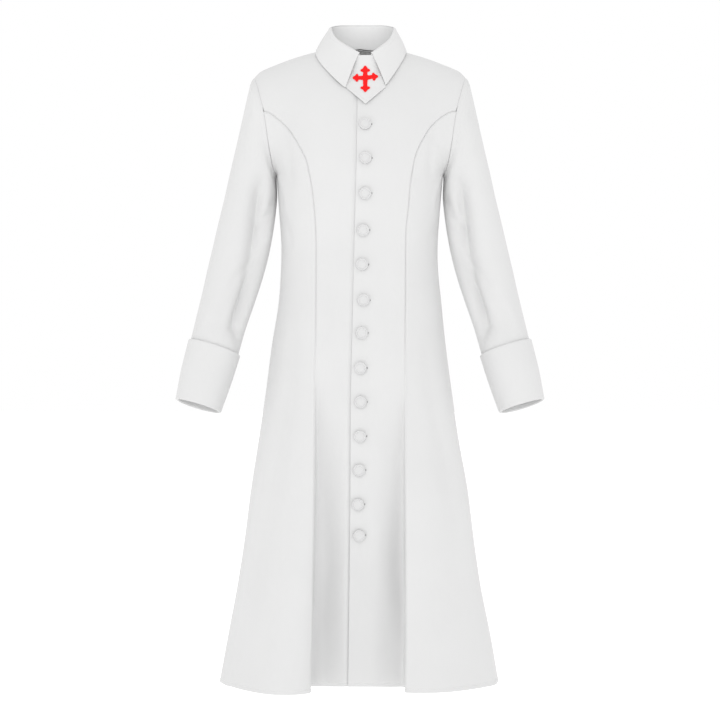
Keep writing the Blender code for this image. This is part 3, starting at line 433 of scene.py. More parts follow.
def skirt_front(side, turn, height):
    """Front from waist to hem, with the fold that stands forward at the princess seam."""
    name = side_name(side)
    width = SECTIONS(name, height)
    front = SECTIONS("front", height)
    seam = SECTIONS("seam_" + name, height)
    fold = max(SECTIONS("fold", height), 0.0)
    share = SEAM_TURNS[side]
    if turn <= share:
        soft = min(FOLD_ROUND, 0.6 * fold)
        valley = seam * (1.0 + VALLEY_SPREAD * fold)
        run = turn / share * (valley + fold)
        forward = hinge(run - valley, soft)
        out = run - forward
        if fold > 0.0:
            whole = hinge(fold, soft)
            end = valley + fold - whole
            out += (seam - end) * forward / whole
            forward *= fold / whole
        base = front * math.sqrt(max(1.0 - (out / width) ** 2, 0.0))
        return out, -(base + forward)
    part = (turn - share) / (1.0 - share)
    start = math.asin(seam / width)
    angle = start + (0.5 * math.pi - start) * part
    reach = front + fold / math.cos(start)
    bulge = max(SECTIONS("bulge_" + name, height), 0.0)
    swell = math.sin(math.pi * min(part / 0.6, 1.0) ** 0.7)
    return width * math.sin(angle), -(reach * math.cos(angle) + bulge * swell)


def skirt_back(side, turn, height):
    """Back below the waist, with two soft flare folds in each panel."""
    width = SECTIONS(side_name(side), height)
    back = SECTIONS("back", height)
    angle = 0.5 * math.pi * turn
    fall = smooth((KNEE_HEIGHT + 0.10 - height) / 0.75)
    size = BACK_FOLD * fall * (1.0 if turn < 0.5 else 0.7)
    swell = size * 0.5 * (1.0 - math.cos(4.0 * math.pi * turn))
    return (width + 0.4 * swell) * math.sin(angle), back * math.cos(angle) + swell * math.cos(0.7 * angle)


def armhole_point(face, rise):
    """Point on the armhole: rise 0 is the underarm and rise 1 the shoulder tip."""
    middle = 0.5 * (UNDERARM_HEIGHT + SHOULDER_HEIGHT)
    half = 0.5 * (SHOULDER_HEIGHT - UNDERARM_HEIGHT)
    height = middle - half * math.cos(math.pi * rise)
    out = ARMHOLE("out", height)
    depth = ARMHOLE_FRONT if face < 0 else ARMHOLE_BACK
    across = face * depth * math.sin(math.pi * rise) + RIDGE_DEPTH * rise
    return Vector((out, across, height))


def chest(face, turn, rise):
    """Robe above the underarm, from the centre line (turn 0) to the armhole (turn 1)."""
    arm = armhole_point(face, rise)
    flat = smooth(1.7 * rise)
    out_share = (1.0 - flat) * math.sin(0.5 * math.pi * turn) + flat * turn
    centre = CHEST_FRONT if face < 0 else CHEST_BACK
    bend = CHEST_ROUND_CENTRE if face < 0 else CHEST_ROUND_BACK
    if face < 0:
        bend += 0.5 * smooth(abs(turn) / 0.6)
    quarter = 0.5 * math.pi * rise
    lift_centre = max(math.sin(quarter), 0.0) ** (2.0 / bend)
    keep = max(math.cos(quarter), 0.0) ** (2.0 / bend)
    lift_arm = 0.5 * (1.0 - math.cos(math.pi * rise))
    lift = lift_centre + (lift_arm - lift_centre) * turn * turn
    ridge = RIDGE("front" if face < 0 else "back", abs(turn))
    height = UNDERARM_HEIGHT + (ridge - UNDERARM_HEIGHT) * lift
    middle = RIDGE_DEPTH + (face * centre - RIDGE_DEPTH) * keep
    across = arm.y + (middle - arm.y) * math.cos(0.5 * math.pi * turn)
    return Vector((arm.x * out_share, across, height))


def body(side, around, rise):
    """Outer face of the robe: around 0 centre front, 1 side or armhole, 2 centre back; rise 0 underarm."""
    if rise > 1.0:
        around = 2.0 - around
        rise = 2.0 - rise
    face = -1 if around <= 1.0 else 1
    turn = around if face < 0 else 2.0 - around
    if rise >= 0.0:
        point = chest(face, min(turn, 1.0), rise)
    else:
        height = UNDERARM_HEIGHT + RISE_STEP * rise
        if face > 0:
            out, across = skirt_back(side, turn, height)
        elif rise > WAIST_RISE:
            out = SECTIONS(side_name(side), height) * math.sin(0.5 * math.pi * turn)
            across = -SECTIONS("front", height) * math.cos(0.5 * math.pi * turn)
        else:
            out, across = skirt_front(side, turn, height)
        point = Vector((out, across, height))
    return Vector((side * point.x, point.y, point.z))


def front_turn(side, world, rise):
    """Turn at which the front has this sideways place, at one rise."""
    return halve(-0.45, 1.0, lambda turn: side * body(side, turn, rise).x < side * world)


def place_on_front(side, world, height):
    """Find turn and rise of the front point that has this sideways place and this height."""
    rise = rise_of(height)
    if height >= UNDERARM_HEIGHT:
        rise = halve(0.0, 1.0, lambda level: chest(-1, min(front_turn(side, world, level), 1.0), level).z < height, 25)
    return front_turn(side, world, rise), rise


def shares(count):
    return [step / count for step in range(count + 1)]


def seam_shares(count):
    """Shares from 0 to 1 that crowd near both ends, where the seams are pressed in."""
    first = EDGE_SHARES[-1]
    middle = [first + (1.0 - 2.0 * first) * share for share in shares(count)[1:-1]]
    return list(EDGE_SHARES) + middle + [1.0 - share for share in reversed(EDGE_SHARES)]


PANEL_SHARES = seam_shares(PANEL_MIDDLE)
SIDE_SHARES = seam_shares(SIDE_MIDDLE)
NECK_SHARES = [share * 0.94 for share in shares(NECK_ROWS)] + [0.962, 0.978, 0.990, 1.0]
NECK_TURN = NECK_HALF / SHOULDER_HALF
SHOULDER_LINE = [(NECK_TURN + (1.0 - NECK_TURN) * share, 1.0) for share in PANEL_SHARES]
SIDE_LINE = [(1.0, WAIST_RISE * (1.0 - share)) for share in shares(UPPER_ROWS)]


def neck_place(face, share):
    low = NECK_RISE_FRONT if face < 0 else NECK_RISE_BACK
    angle = 0.5 * math.pi * share
    return NECK_TURN * math.sin(angle), low + (1.0 - low) * (1.0 - math.cos(angle))


def princess_places(side):
    """Princess seam above the waist, from the waist to the armhole, in turn and rise."""
    name = side_name(side)
    places = [(SEAM_TURNS[side], WAIST_RISE)]
    for row in PRINCESS.named()[1:]:
        places.append(place_on_front(side, side * row[name], row["height"]))
    places.append((1.0, PRINCESS_TOP_RISE))
    points = [body(side, turn, rise) for turn, rise in places]
    lengths = [0.0]
    for first, second in zip(points, points[1:]):
        lengths.append(lengths[-1] + (second - first).length)
    seam = Table("length turn rise", [(length, *place) for length, place in zip(lengths, places)])
    result = []
    for share in shares(UPPER_ROWS):
        run = (1.0 - (1.0 - share) ** 1.35) * lengths[-1]
        result.append((seam("turn", run), seam("rise", run)))
    result[0] = places[0]
    result[-1] = places[-1]
    return result


def lower_rises():
    """Rises from the waist to the hem, closer together where the hem is turned up."""
    last = HEM_HEIGHT + HEM_ROWS[-1]
    count = round((WAIST_HEIGHT - last) / ROW_STEP)
    heights = [WAIST_HEIGHT + (last - WAIST_HEIGHT) * share for share in shares(count)[:-1]]
    heights += [HEM_HEIGHT + step for step in reversed(HEM_ROWS)]
    return [rise_of(height) for height in reversed(heights)]


def blend_patch(bottom, top, left, right, far_shares):
    """Fill the field between four edges, row by row, and leave out the first row."""
    bottom, top, left, right = (np.array(edge) for edge in (bottom, top, left, right))
    far = np.array(far_shares)[None, :, None]
    run = np.concatenate([[0.0], np.cumsum(np.linalg.norm(np.diff(right, axis=0), axis=1))])
    high = (run / run[-1])[1:, None, None]
    field = (1.0 - high) * bottom + high * top
    field += (1.0 - far) * left[1:, None] + far * right[1:, None]
    field -= (1.0 - far) * (1.0 - high) * bottom[0] + far * (1.0 - high) * bottom[-1]
    field -= (1.0 - far) * high * top[0] + far * high * top[-1]
    return np.minimum(field, 1.0).tolist()


def lap_place(side, height):
    """Sideways place of a front's free edge: the upper layer's, or the under layer's below it."""
    edge = FRONT_EDGE("place", height)
    return edge if side > 0 else edge + UNDER_LAP


def front_places(side):
    seam = SEAM_TURNS[side]
    rows = []
    for rise in lower_rises():
        start = front_turn(side, lap_place(side, UNDERARM_HEIGHT + RISE_STEP * rise), rise)
        rows.append([(start + (seam - start) * share, rise) for share in PANEL_SHARES])
    lap_rows = 0 if side > 0 else LAP_ROWS
    edge_top = front_turn(side, lap_place(side, -0.055), NECK_RISE_FRONT)
    left = []
    for share in shares(UPPER_ROWS - lap_rows):
        rise = WAIST_RISE + (NECK_RISE_FRONT - WAIST_RISE) * share
        height = WAIST_HEIGHT + 0.345 * share
        left.append((front_turn(side, lap_place(side, height), rise), rise))
    for share in shares(lap_rows)[1:] if lap_rows else []:
        left.append((edge_top * (1.0 - share), NECK_RISE_FRONT))
    left += [neck_place(-1, share) for share in NECK_SHARES[1:]]
    right = princess_places(side)
    right += [(1.0, PRINCESS_TOP_RISE + (1.0 - PRINCESS_TOP_RISE) * share) for share in NECK_SHARES[1:]]
    return rows + blend_patch(rows[-1], SHOULDER_LINE, left, right, PANEL_SHARES)


def side_front_places(side):
    seam = SEAM_TURNS[side]
    rows = [[(seam + (1.0 - seam) * share, rise) for share in SIDE_SHARES] for rise in lower_rises()]
    top = [(1.0, PRINCESS_TOP_RISE * (1.0 - share)) for share in SIDE_SHARES]
    return rows + blend_patch(rows[-1], top, princess_places(side), SIDE_LINE, SIDE_SHARES)


def back_places(side):
    rows = [[(share, rise) for share in PANEL_SHARES] for rise in lower_rises()]
    plain = UPPER_ROWS + BACK_ARM_ROWS - (len(NECK_SHARES) - 1)
    left = [(0.0, WAIST_RISE + (NECK_RISE_BACK - WAIST_RISE) * share) for share in shares(plain)]
    left += [neck_place(1, share) for share in NECK_SHARES[1:]]
    right = SIDE_LINE + [(1.0, share) for share in shares(BACK_ARM_ROWS)[1:]]
    rows += blend_patch(rows[-1], SHOULDER_LINE, left, right, PANEL_SHARES)
    return [[(2.0 - min(turn, 0.9999), rise) for turn, rise in row] for row in rows]


def grid_normals(grid, wrap=False):
    """Direction square to a grid of points, at each point."""
    if wrap:
        across = np.roll(grid, -1, axis=1) - np.roll(grid, 1, axis=1)
    else:
        across = np.gradient(grid, axis=1)
    up = np.gradient(grid, axis=0)
    normals = np.cross(across, up)
    lengths = np.linalg.norm(normals, axis=2, keepdims=True)
    return normals / np.maximum(lengths, 1e-12)


def tube_normals(grid, rows=slice(None)):
    """Directions square to a tube's grid, turned to point away from its middle line in the given rows."""
    normals = grid_normals(grid, True)
    away = (grid - grid.mean(axis=1, keepdims=True)) * normals
    return -normals if np.sum(away[rows]) < 0.0 else normals


def run_from(grid, edge):
    """Distance of each point from one edge of its grid, along the cloth."""
    axis = 0 if "row" in edge else 1
    if "last" in edge:
        return np.flip(run_from(np.flip(grid, axis=axis), edge.replace("last", "first")), axis=axis)
    steps = np.linalg.norm(np.diff(grid, axis=axis), axis=2)
    return np.concatenate([np.zeros_like(steps.take([0], axis=axis)), np.cumsum(steps, axis=axis)], axis=axis)


def press_seam(grid, normals, edge, depth, width):
    """Let the cloth dip towards a seam along one edge, as sewn cloth does."""
    run = run_from(grid, edge)
    dip = depth * hump(run, 0.0, width)
    swell = 0.18 * depth * hump(run, 3.2 * width, 1.3 * width)
    return raised(grid, normals, swell - dip)


def fold_height(across, up, folds, scale):
    """Sum of soft folds over a field; the scale turns its two kinds of place into metres."""
    total = np.zeros_like(across)
    for fold in folds:
        start = np.array((fold["across"], fold["up"])) * scale
        run = np.array((fold["end_across"], fold["end_up"])) * scale - start
        length = np.linalg.norm(run)
        run = run / length
        off_x = across * scale[0] - start[0]
        off_y = up * scale[1] - start[1]
        ahead = (off_x * run[0] + off_y * run[1]) / length
        aside = off_x * run[1] - off_y * run[0]
        if fold["end_up"] < HEM_HEIGHT:
            ease = clamp(ahead * 2.0)
        else:
            ease = clamp(ahead * 3.0) * clamp((1.0 - ahead) * 4.0)
        ease = ease * ease * (3.0 - 2.0 * ease)
        bend = fold["width"] * 0.5 * np.sin(2.2 * np.pi * ahead + fold["width"] * 300.0)
        total += fold["depth"] * ease * hump(aside, bend, fold["width"])
    return total


def body_folds(side, places):
    """Height of the robe's folds at each point of a panel."""
    around, rise = np.array(places).transpose(2, 0, 1)
    folds = [fold for fold in BODY_FOLDS.named() if fold["side"] == side]
    return fold_height(around, UNDERARM_HEIGHT + RISE_STEP * rise, folds, BODY_SCALE)


def under_layer_drop(world, height):
    """How far the under layer lies behind the lap, which it passes under just inside its edge."""
    edge = FRONT_EDGE("place", height)
    return (CLOTH + LAP_GAP) * smooth((world - edge + 0.008) / 0.007)


def sink_recess(side, grid):
    """Let the lower centre front fall back between the two standing folds, and keep the lap's edge forward."""
    grid = grid.copy()
    for row in grid:
        height = row[0][2]
        depth = RECESS * smooth((RECESS_TOPS[side] - height) / RECESS_RUN)
        if depth == 0.0:
            continue
        edge = FRONT_EDGE("place", height)
        fold = max(SECTIONS("fold", height), 0.0)
        valley = SECTIONS("seam_" + side_name(side), height) * (1.0 + VALLEY_SPREAD * fold)
        valley -= side * lap_place(side, height)
        corner = min(valley / (valley + fold), 0.90)
        for column, point in enumerate(row):
            keep = 1.0 - smooth((PANEL_SHARES[column] - corner + 0.03) / (1.03 - corner))
            away = point[0] - edge
            if side > 0:
                fall = 0.53 * smooth((away - 0.046) / 0.062)
                point[1] -= 0.01 * depth * hump(away, 0.0, 0.040)
            else:
                fall = 0.05 + 0.63 * smooth(-away / 0.056)
            point[1] += depth * keep * fall
            point[2] -= 0.15 * depth * keep * fall * smooth((HEM_HEIGHT + 0.06 - height) / 0.06)
    return grid


def turn_up_hem(grid, normals):
    """Thicken the turned-up hem and sink its line of stitching."""
    run = run_from(grid, "first_row")
    ridge = 0.000275 * (1.0 - np.tanh((run - HEM_LINE) / 0.0012))
    trough = 0.00050 * hump(run, HEM_LINE, STITCH_GROOVE)
    return raised(grid, normals, ridge - trough)


def deselect():
    if bpy.context.object and bpy.context.object.mode != "OBJECT":
        bpy.ops.object.mode_set(mode="OBJECT")
    bpy.ops.object.select_all(action="DESELECT")


def choose(piece):
    deselect()
    piece.select_set(True)
    bpy.context.view_layer.objects.active = piece


def apply_all(piece):
    choose(piece)
    for modifier in list(piece.modifiers):
        bpy.ops.object.modifier_apply(modifier=modifier.name)


def corners_of(field):
    """Values at the four corners of each face between the rows and columns of a grid."""
    return np.stack([field[:-1, :-1], field[:-1, 1:], field[1:, 1:], field[1:, :-1]], axis=2)


def sheet_mesh(name, grid, wrap):
    """Mesh of a curved sheet from its grid, with a UV map that holds the cloth's own measures in metres."""
    number = np.arange(grid.shape[0] * grid.shape[1]).reshape(grid.shape[:2])
    ring = grid
    if wrap:
        number = np.concatenate([number, number[:, :1]], axis=1)
        ring = np.concatenate([grid, grid[:, :1]], axis=1)
    up = run_from(ring, "first_row").mean(axis=1, keepdims=True)
    places = np.stack(np.broadcast_arrays(run_from(ring, "first_column"), up), axis=2)
    mesh = bpy.data.meshes.new(name)
    mesh.from_pydata(grid.reshape(-1, 3).tolist(), [], corners_of(number).reshape(-1, 4).tolist())
    mesh.uv_layers.new(name="cloth").data.foreach_set("uv", corners_of(places).astype(np.float32).ravel())
    return mesh


def new_piece(name, data):
    piece = bpy.data.objects.new(name, data)
    bpy.context.scene.collection.objects.link(piece)
    return piece


def declare(piece, nodes, slot, **sheet):
    """Tie a finished piece to the frame and hide the solids it stands for; the slot and the sheet's flat size, hold
    and rests are not used.
    """
    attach(piece, "root")
    if nodes:
        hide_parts(*nodes)


def add_sheet(name, grid, normals, material, thick=CLOTH, wrap=False, bevel=0.0, **sheet):
    """Make the sheet that stands for one node: its thickness goes inward from the side the directions point to."""
    GRIDS[name] = grid, normals
    mesh = sheet_mesh("robe_" + name, grid, wrap)
    piece = new_piece("robe_" + name, mesh)
    row = grid.shape[0] // 2
    column = grid.shape[1] // 2
    face = mesh.polygons[row * (grid.shape[1] - (0 if wrap else 1)) + column]
    if np.dot(np.array(face.normal), normals[row][column]) < 0.0:
        mesh.flip_normals()
    wall = piece.modifiers.new("cloth thickness", "SOLIDIFY")
    wall.thickness = thick
    wall.offset = -1.0
    wall.use_rim = True
    if bevel > 0.0:
        edge = piece.modifiers.new("soft edge", "BEVEL")
        edge.width = bevel
        edge.segments = 2
        edge.limit_method = "ANGLE"
        edge.angle_limit = SMOOTH_ANGLE
    apply_all(piece)
    bpy.ops.object.shade_smooth_by_angle(angle=SMOOTH_ANGLE)
    piece.data.materials.append(material)
    declare(piece, [name], "robe_cloth", **sheet)


# Node helpers
def fill(tree, socket, value):
    """Link a socket to another one, or give it a value."""
    if isinstance(value, bpy.types.NodeSocket):
        tree.links.new(value, socket)
    else:
        socket.default_value = value


def add_node(tree, kind, **inputs):
    node = tree.nodes.new("ShaderNode" + kind)
    for label, value in inputs.items():
        fill(tree, node.inputs[label], value)
    return node


def calculate(tree, operation, *values):
    node = tree.nodes.new("ShaderNodeMath")
    node.operation = operation
    for number, value in enumerate(values):
        fill(tree, node.inputs[number], value)
    return node.outputs[0]


def weigh(tree, first, first_share, second, second_share):
    """Sum of two values, each times its share."""
    return calculate(tree, "ADD", calculate(tree, "MULTIPLY", first, first_share),
                     calculate(tree, "MULTIPLY", second, second_share))


def new_group(name, inputs, *outputs):
    """New group with number inputs and outputs; gives back the group and its inner sockets on both ends."""
    group = bpy.data.node_groups.new(name, "ShaderNodeTree")
    for label, value in inputs.items():
        group.interface.new_socket(name=label, in_out="INPUT", socket_type="NodeSocketFloat").default_value = value
    for label in outputs:
        group.interface.new_socket(name=label, in_out="OUTPUT", socket_type="NodeSocketFloat")
    return group, group.nodes.new("NodeGroupInput").outputs, group.nodes.new("NodeGroupOutput").inputs


def twill_group():
    """Fine twill on the cloth's own measures: height and shade of the threads, kept faint from afar."""
    group, start, end = new_group("fine twill", {"Threads per metre": 1500.0, "Slub": 0.35}, "Height", "Shade")
    place = add_node(group, "UVMap")
    place.uv_map = "cloth"
    parts = add_node(group, "SeparateXYZ", Vector=place.outputs["UV"])
    across, up = (calculate(group, "MULTIPLY", parts.outputs[axis], start["Threads per metre"]) for axis in "XY")
    slant = calculate(group, "ADD", across, calculate(group, "MULTIPLY", up, 0.85))
    rib = calculate(group, "SINE", calculate(group, "MULTIPLY", slant, 1.5708))
    weft = calculate(group, "SINE", calculate(group, "MULTIPLY", up, 6.2832))
    stretch = add_node(group, "Mapping", Vector=place.outputs["UV"], Scale=(900.0, 60.0, 1.0))
    slub = add_node(group, "TexNoise", Vector=stretch.outputs["Vector"], Scale=1.0, Detail=2.0)
    lump = calculate(group, "MULTIPLY", calculate(group, "SUBTRACT", slub.outputs["Fac"], 0.5), start["Slub"])
    height = calculate(group, "ADD", weigh(group, rib, 0.32, weft, 0.18), lump)
    fill(group, end["Height"], calculate(group, "ADD", height, 0.5))
    fill(group, end["Shade"], calculate(group, "ADD", calculate(group, "MULTIPLY", lump, 0.5), 0.5))
    return group


def mottle_group():
    """Very soft unevenness of pressed cloth, in shade and in height, on object coordinates."""
    group, start, end = new_group("pressed cloth", {"Size": 9.0, "Fine size": 45.0}, "Shade", "Height")
    place = add_node(group, "TexCoord").outputs["Object"]
    wide = add_node(group, "TexNoise", Vector=place, Scale=start["Size"], Detail=3.0, Roughness=0.45).outputs["Fac"]
    fine = add_node(group, "TexNoise", Vector=place, Scale=start["Fine size"], Detail=3.0).outputs["Fac"]
    fill(group, end["Shade"], wide)
    fill(group, end["Height"], weigh(group, wide, 0.7, fine, 0.3))
    return group


def strand_group():
    """Fine twisted strands of thread on object coordinates."""
    group, start, end = new_group("twisted strands", {"Fineness": 1800.0}, "Strands")
    place = add_node(group, "TexCoord").outputs["Object"]
    noise = add_node(group, "TexNoise", Vector=place, Scale=start["Fineness"], Detail=2.0)
    fill(group, end["Strands"], noise.outputs["Fac"])
    return group


def add_group(tree, name, **inputs):
    """Place a group in a material, with its own values, and give back its outputs."""
    node = tree.nodes.new("ShaderNodeGroup")
    node.node_tree = GROUPS[name]
    for label, value in inputs.items():
        node.inputs[label.replace("_", " ")].default_value = value
    return node.outputs


def new_material(name):
    material = bpy.data.materials.new(name)
    material.use_nodes = True
    return material, material.node_tree, material.node_tree.nodes["Principled BSDF"].inputs


def grey(value, warmth=0.001):
    """Opaque grey, with a little less blue for warmth."""
    return value, value, value - warmth, 1.0


def two_shades(tree, share, shades, span):
    """Colour mixed from two near shades over a span of the share."""
    ramp = add_node(tree, "ValToRGB", Fac=share)
    for element, shade, position in zip(ramp.color_ramp.elements, shades, span):
        element.position = position
        element.color = shade
    return ramp.outputs["Color"]


def cloth_material(name, dark, light, threads, weave, pressed, rough, sheen):
    """Woven cloth: two near shades mixed by its unevenness, with the weave and soft pressing as relief."""
    material, tree, shader = new_material(name)
    shader["Specular IOR Level"].default_value = 0.25
    shader["Sheen Weight"].default_value = sheen
    shader["Sheen Roughness"].default_value = 0.45
    twill = add_group(tree, "twill", Threads_per_metre=threads)
    mottle = add_group(tree, "mottle")
    blend = weigh(tree, mottle["Shade"], 0.6, twill["Shade"], 0.4)
    fill(tree, shader["Base Color"], two_shades(tree, blend, (dark, light), (0.30, 0.70)))
    spread = calculate(tree, "ADD", calculate(tree, "MULTIPLY", twill["Height"], 0.10), rough - 0.05)
    fill(tree, shader["Roughness"], spread)
    soft = add_node(tree, "Bump", Distance=pressed, Height=mottle["Height"])
    woven = add_node(tree, "Bump", Distance=weave, Height=twill["Height"], Normal=soft.outputs["Normal"])
    fill(tree, shader["Normal"], woven.outputs["Normal"])
    return material


def thread_material(name, dark, light, rough, sheen, shine):
    """Sewing or embroidery thread, with its strands in shade, roughness and relief."""
    material, tree, shader = new_material(name)
    shader["Specular IOR Level"].default_value = shine
    shader["Sheen Weight"].default_value = sheen
    strands = add_group(tree, "strands")["Strands"]
    fill(tree, shader["Base Color"], two_shades(tree, strands, (dark, light), (0.35, 0.65)))
    spread = calculate(tree, "ADD", calculate(tree, "MULTIPLY", strands, 0.2), rough - 0.1)
    fill(tree, shader["Roughness"], spread)
    fill(tree, shader["Normal"], add_node(tree, "Bump", Distance=0.0001, Height=strands).outputs["Normal"])
    return material


CLOTHS = Table("name dark light threads weave pressed rough sheen", (
    ("robe cloth", grey(0.664), grey(0.688), 1500.0, 0.00006, 0.0012, 0.80, 0.10),
    ("collar cloth", grey(0.686), grey(0.716), 1500.0, 0.00006, 0.0006, 0.78, 0.10),
    # The collar band is the robe's white cloth painted far lighter: painted light that lifts the shade inside the neck
    ("collar band cloth", grey(0.835), grey(0.865), 1500.0, 0.00006, 0.0006, 0.78, 0.10),
    # The buttons are covered in the robe's own cloth, painted a shade darker: painted shade on their faces
    ("button cloth", grey(0.632, 0.0), grey(0.664, 0.0), 1400.0, 0.00009, 0.0003, 0.72, 0.15),
))
THREADS = Table("name dark light rough sheen shine", (
    ("white thread", grey(0.76, 0.0), grey(0.86, 0.0), 0.6, 0.1, 0.4),
    # The buttonhole thread is painted mid grey: painted shade where the slit and the button's edge fall dark on the
    # white robe
    ("buttonhole thread", grey(0.38, 0.0), grey(0.48, 0.0), 0.6, 0.1, 0.4),
    ("red embroidery", (0.82, 0.004, 0.004, 1.0), (1.0, 0.012, 0.012, 1.0), 0.6, 0.0, 0.18),
))


def shape_front(side, grid, normals):
    """Sink the recess and the under layer, and press the seam, softer along the armhole."""
    grid = sink_recess(side, grid)
    turned = grid_normals(grid)
    normals = turned * np.sign(np.sum(turned * normals))
    GRIDS["bare_front_" + side_name(side)] = grid.copy()
    if side < 0:
        drop = np.array([[under_layer_drop(point[0], point[2]) for point in row] for row in grid])
        grid = raised(grid, normals, -drop)
    sewn = press_seam(grid, normals, "last_column", *PRINCESS_PRESS)
    soft = press_seam(grid, normals, "last_column", *ARMHOLE_PRESS)
    above = clamp((np.arange(len(grid)) - (len(grid) - len(NECK_SHARES))) / 2.0)[:, None, None]
    return sewn + (soft - sewn) * above, normals


# Kind of panel: its places, the dip along each seam, its flat size and area
PANELS = {
    "front": (front_places, (("last_row", 0.0008),), (0.22, 1.36), 0.18),
    "side_front": (side_front_places, (("first_column", 0.0022), ("last_column", 0.0012), ("last_row", 0.0008)),
                   (0.27, 1.18), 0.19),
    "back": (back_places, (("first_column", 0.0013), ("last_column", 0.0012), ("last_row", 0.0010)), (0.37, 1.36),
             0.34),
}


def make_panel(kind, side, material):
    name = kind + "_" + side_name(side)
    places_of, seams, flat, area = PANELS[kind]
    places = places_of(side)
    grid = np.array([[body(side, around, rise) for around, rise in row] for row in places])
    normals = grid_normals(grid)
    middle = len(grid) // 3, len(grid[0]) // 2
    if np.dot(normals[middle][:2], grid[middle][:2]) < 0.0:
        normals = -normals
    grid = raised(grid, normals, body_folds(side, places))
    if kind == "front":
        grid, normals = shape_front(side, grid, normals)
    for edge, depth in seams:
        grid = press_seam(grid, normals, edge, depth, SEAM_DIP)
    rests_on = ["robe_front_" + side_name(side)] if kind == "side_front" else ["robe_collar_stand"]
    add_sheet(name, turn_up_hem(grid, normals), normals, material, flat=flat, area=area, held="hung",
              rests_on=rests_on)


def sleeve_point(side, row, angle, spread=0.0):
    """Outer face of the sleeve: row -1 is the armhole, angle 0 the inner edge, pi the outer edge, front between."""
    place = max(row, 0.0)
    values = {name: SLEEVE_ROWS(name, place) for name in SLEEVE_ROWS.names[1:]}
    outside = Vector((values["out"], 0.0, values["out_height"]))
    inside = Vector((values["in"], 0.0, values["in_height"]))
    middle = 0.5 * (outside + inside)
    half = 0.5 * (outside - inside)
    half += half.normalized() * spread
    tilt = math.radians(values["tilt"])
    front = Vector((0.0, -math.cos(tilt), math.sin(tilt))) * (values["depth"] + spread)
    squeeze = 1.0 - 0.10 * math.sin(angle) ** 2 * (1.0 if math.sin(angle) > 0.0 else 0.3)
    point = middle - half * math.cos(angle) + front * math.sin(angle) * squeeze
    point.y -= values["forward"]
    face = -1 if math.sin(angle) >= 0.0 else 1
    rise = angle / math.pi if face < 0 else 2.0 - angle / math.pi
    rise = min(max(rise, 0.0), 1.0)
    if place < 5.0:
        near = 1.0 - (place + 1.0) / 6.0
        arm = armhole_point(face, rise)
        top = armhole_point(face, 1.0)
        low = armhole_point(face, 0.0)
        depth = ARMHOLE_FRONT if face < 0 else ARMHOLE_BACK
        round_arm = 0.5 * (top + low) - 0.5 * (top - low) * math.cos(angle)
        round_arm.y -= depth * math.sin(angle)
        point += (arm - round_arm) * near * near
    if row < 0.0:
        point = armhole_point(face, rise).lerp(point, row + 1.0)
    point.x *= side
    return point


def armhole_angles():
    """Angles round the armhole that match the edge points of the panels."""
    front = [PRINCESS_TOP_RISE * share for share in SIDE_SHARES]
    front += [PRINCESS_TOP_RISE + (1.0 - PRINCESS_TOP_RISE) * share for share in NECK_SHARES[1:]]
    angles = [math.pi * rise for rise in front]
    angles += [2.0 * math.pi - math.pi * share for share in reversed(shares(BACK_ARM_ROWS)[1:-1])]
    return angles


def make_sleeve(side, material):
    angles = armhole_angles()
    last = CUFF_END_ROW - 0.04
    rows = [-1.0, -0.93, -0.85, -0.75, -0.6, -0.4, -0.2] + [last * share for share in shares(round(last * 9.0))]
    grid = np.array([[sleeve_point(side, row, angle) for angle in angles] for row in rows])
    normals = tube_normals(grid)
    turn, level = np.meshgrid(np.degrees(angles), rows)
    height = fold_height(turn, level, SLEEVE_FOLDS.named(), SLEEVE_SCALE)
    grid = raised(grid, normals, height * clamp((CUFF_TOP_ROW - level) / 0.8))
    # The cap swells past its seam, more over the shoulder than under the arm
    run = run_from(grid, "first_row")
    over = 0.5 * (1.0 - np.cos(angles))
    cap = 0.0016 * hump(run, 0.009, 0.007) - 0.0009 * hump(run, 0.0, SEAM_DIP)
    grid = raised(grid, normals, cap * (0.25 + 0.75 * over))
    # The inner back edge is tucked in towards the body at the armpit
    tuck = ARMPIT_TUCK * hump(turn, ARMPIT_ANGLE, 24.0)
    grid[..., 0] -= side * tuck * clamp(level + 1.0) * clamp((4.6 - level) / 1.4)
    add_sheet("sleeve_" + side_name(side), grid, normals, material, wrap=True, flat=(0.40, 0.68), held="hung",
              rests_on=["robe_side_front_" + side_name(side)], area=0.20)


def make_cuff(side, material):
    """Turned-back cuff: from inside its top edge, over it, down the outside and into the sleeve's mouth."""
    angles = armhole_angles()
    top = CUFF_TOP_ROW
    end = CUFF_END_ROW
    # Row along the sleeve and distance off it, round the cuff
    path = [(top + 0.30, 0.0012), (top + 0.12, 0.0014), (top + 0.03, 0.0017), (top, 0.0024), (top - 0.010, 0.0033),
            (top, 0.0042), (top + 0.03, 0.0047)]
    path += [(top + (end - top) * share, 0.0046 - 0.0012 * share) for share in shares(26)[1:-1]]
    path += [(end - 0.03, 0.0034), (end - 0.008, 0.0029), (end, 0.0016), (end, 0.0002), (end - 0.010, -0.0014),
             (end - 0.04, -0.0022), (end - 0.12, -0.0024), (end - 0.26, -0.0026), (end - 0.42, -0.0028)]
    grid = []
    for row, spread in path:
        line = []
        for angle in angles:
            slip = (0.045 + 0.09 * (0.5 + 0.5 * math.cos(angle))) * (end - row) / (end - top)
            line.append(sleeve_point(side, row + slip, angle, spread))
        grid.append(line)
    grid = np.array(grid)
    add_sheet("cuff_" + side_name(side), grid, tube_normals(grid, len(path) // 2), material, thick=CUFF_CLOTH,
              wrap=True, flat=(0.33, 0.17), held="folded", rests_on=["robe_sleeve_" + side_name(side)], area=0.050)


def collar_line(table, share, up):
    """Point of a collar line at a share of the way from centre back (0) to either front end (1 or -1)."""
    half = table("half", abs(share))
    if share < 0.0:
        if table is FOLD_LINE:
            half += 0.0050 * math.sin(math.pi * min(max((-share - 0.55) / 0.45, 0.0), 1.0))
        half = -half
    depth = table("depth", abs(share))
    height = table("height", abs(share))
    ahead = smooth((abs(share) - 0.3) / 0.7)
    return Vector((half + up * COLLAR_SHIFT_TOP + ahead * COLLAR_SHIFT_FRONT, depth, height))


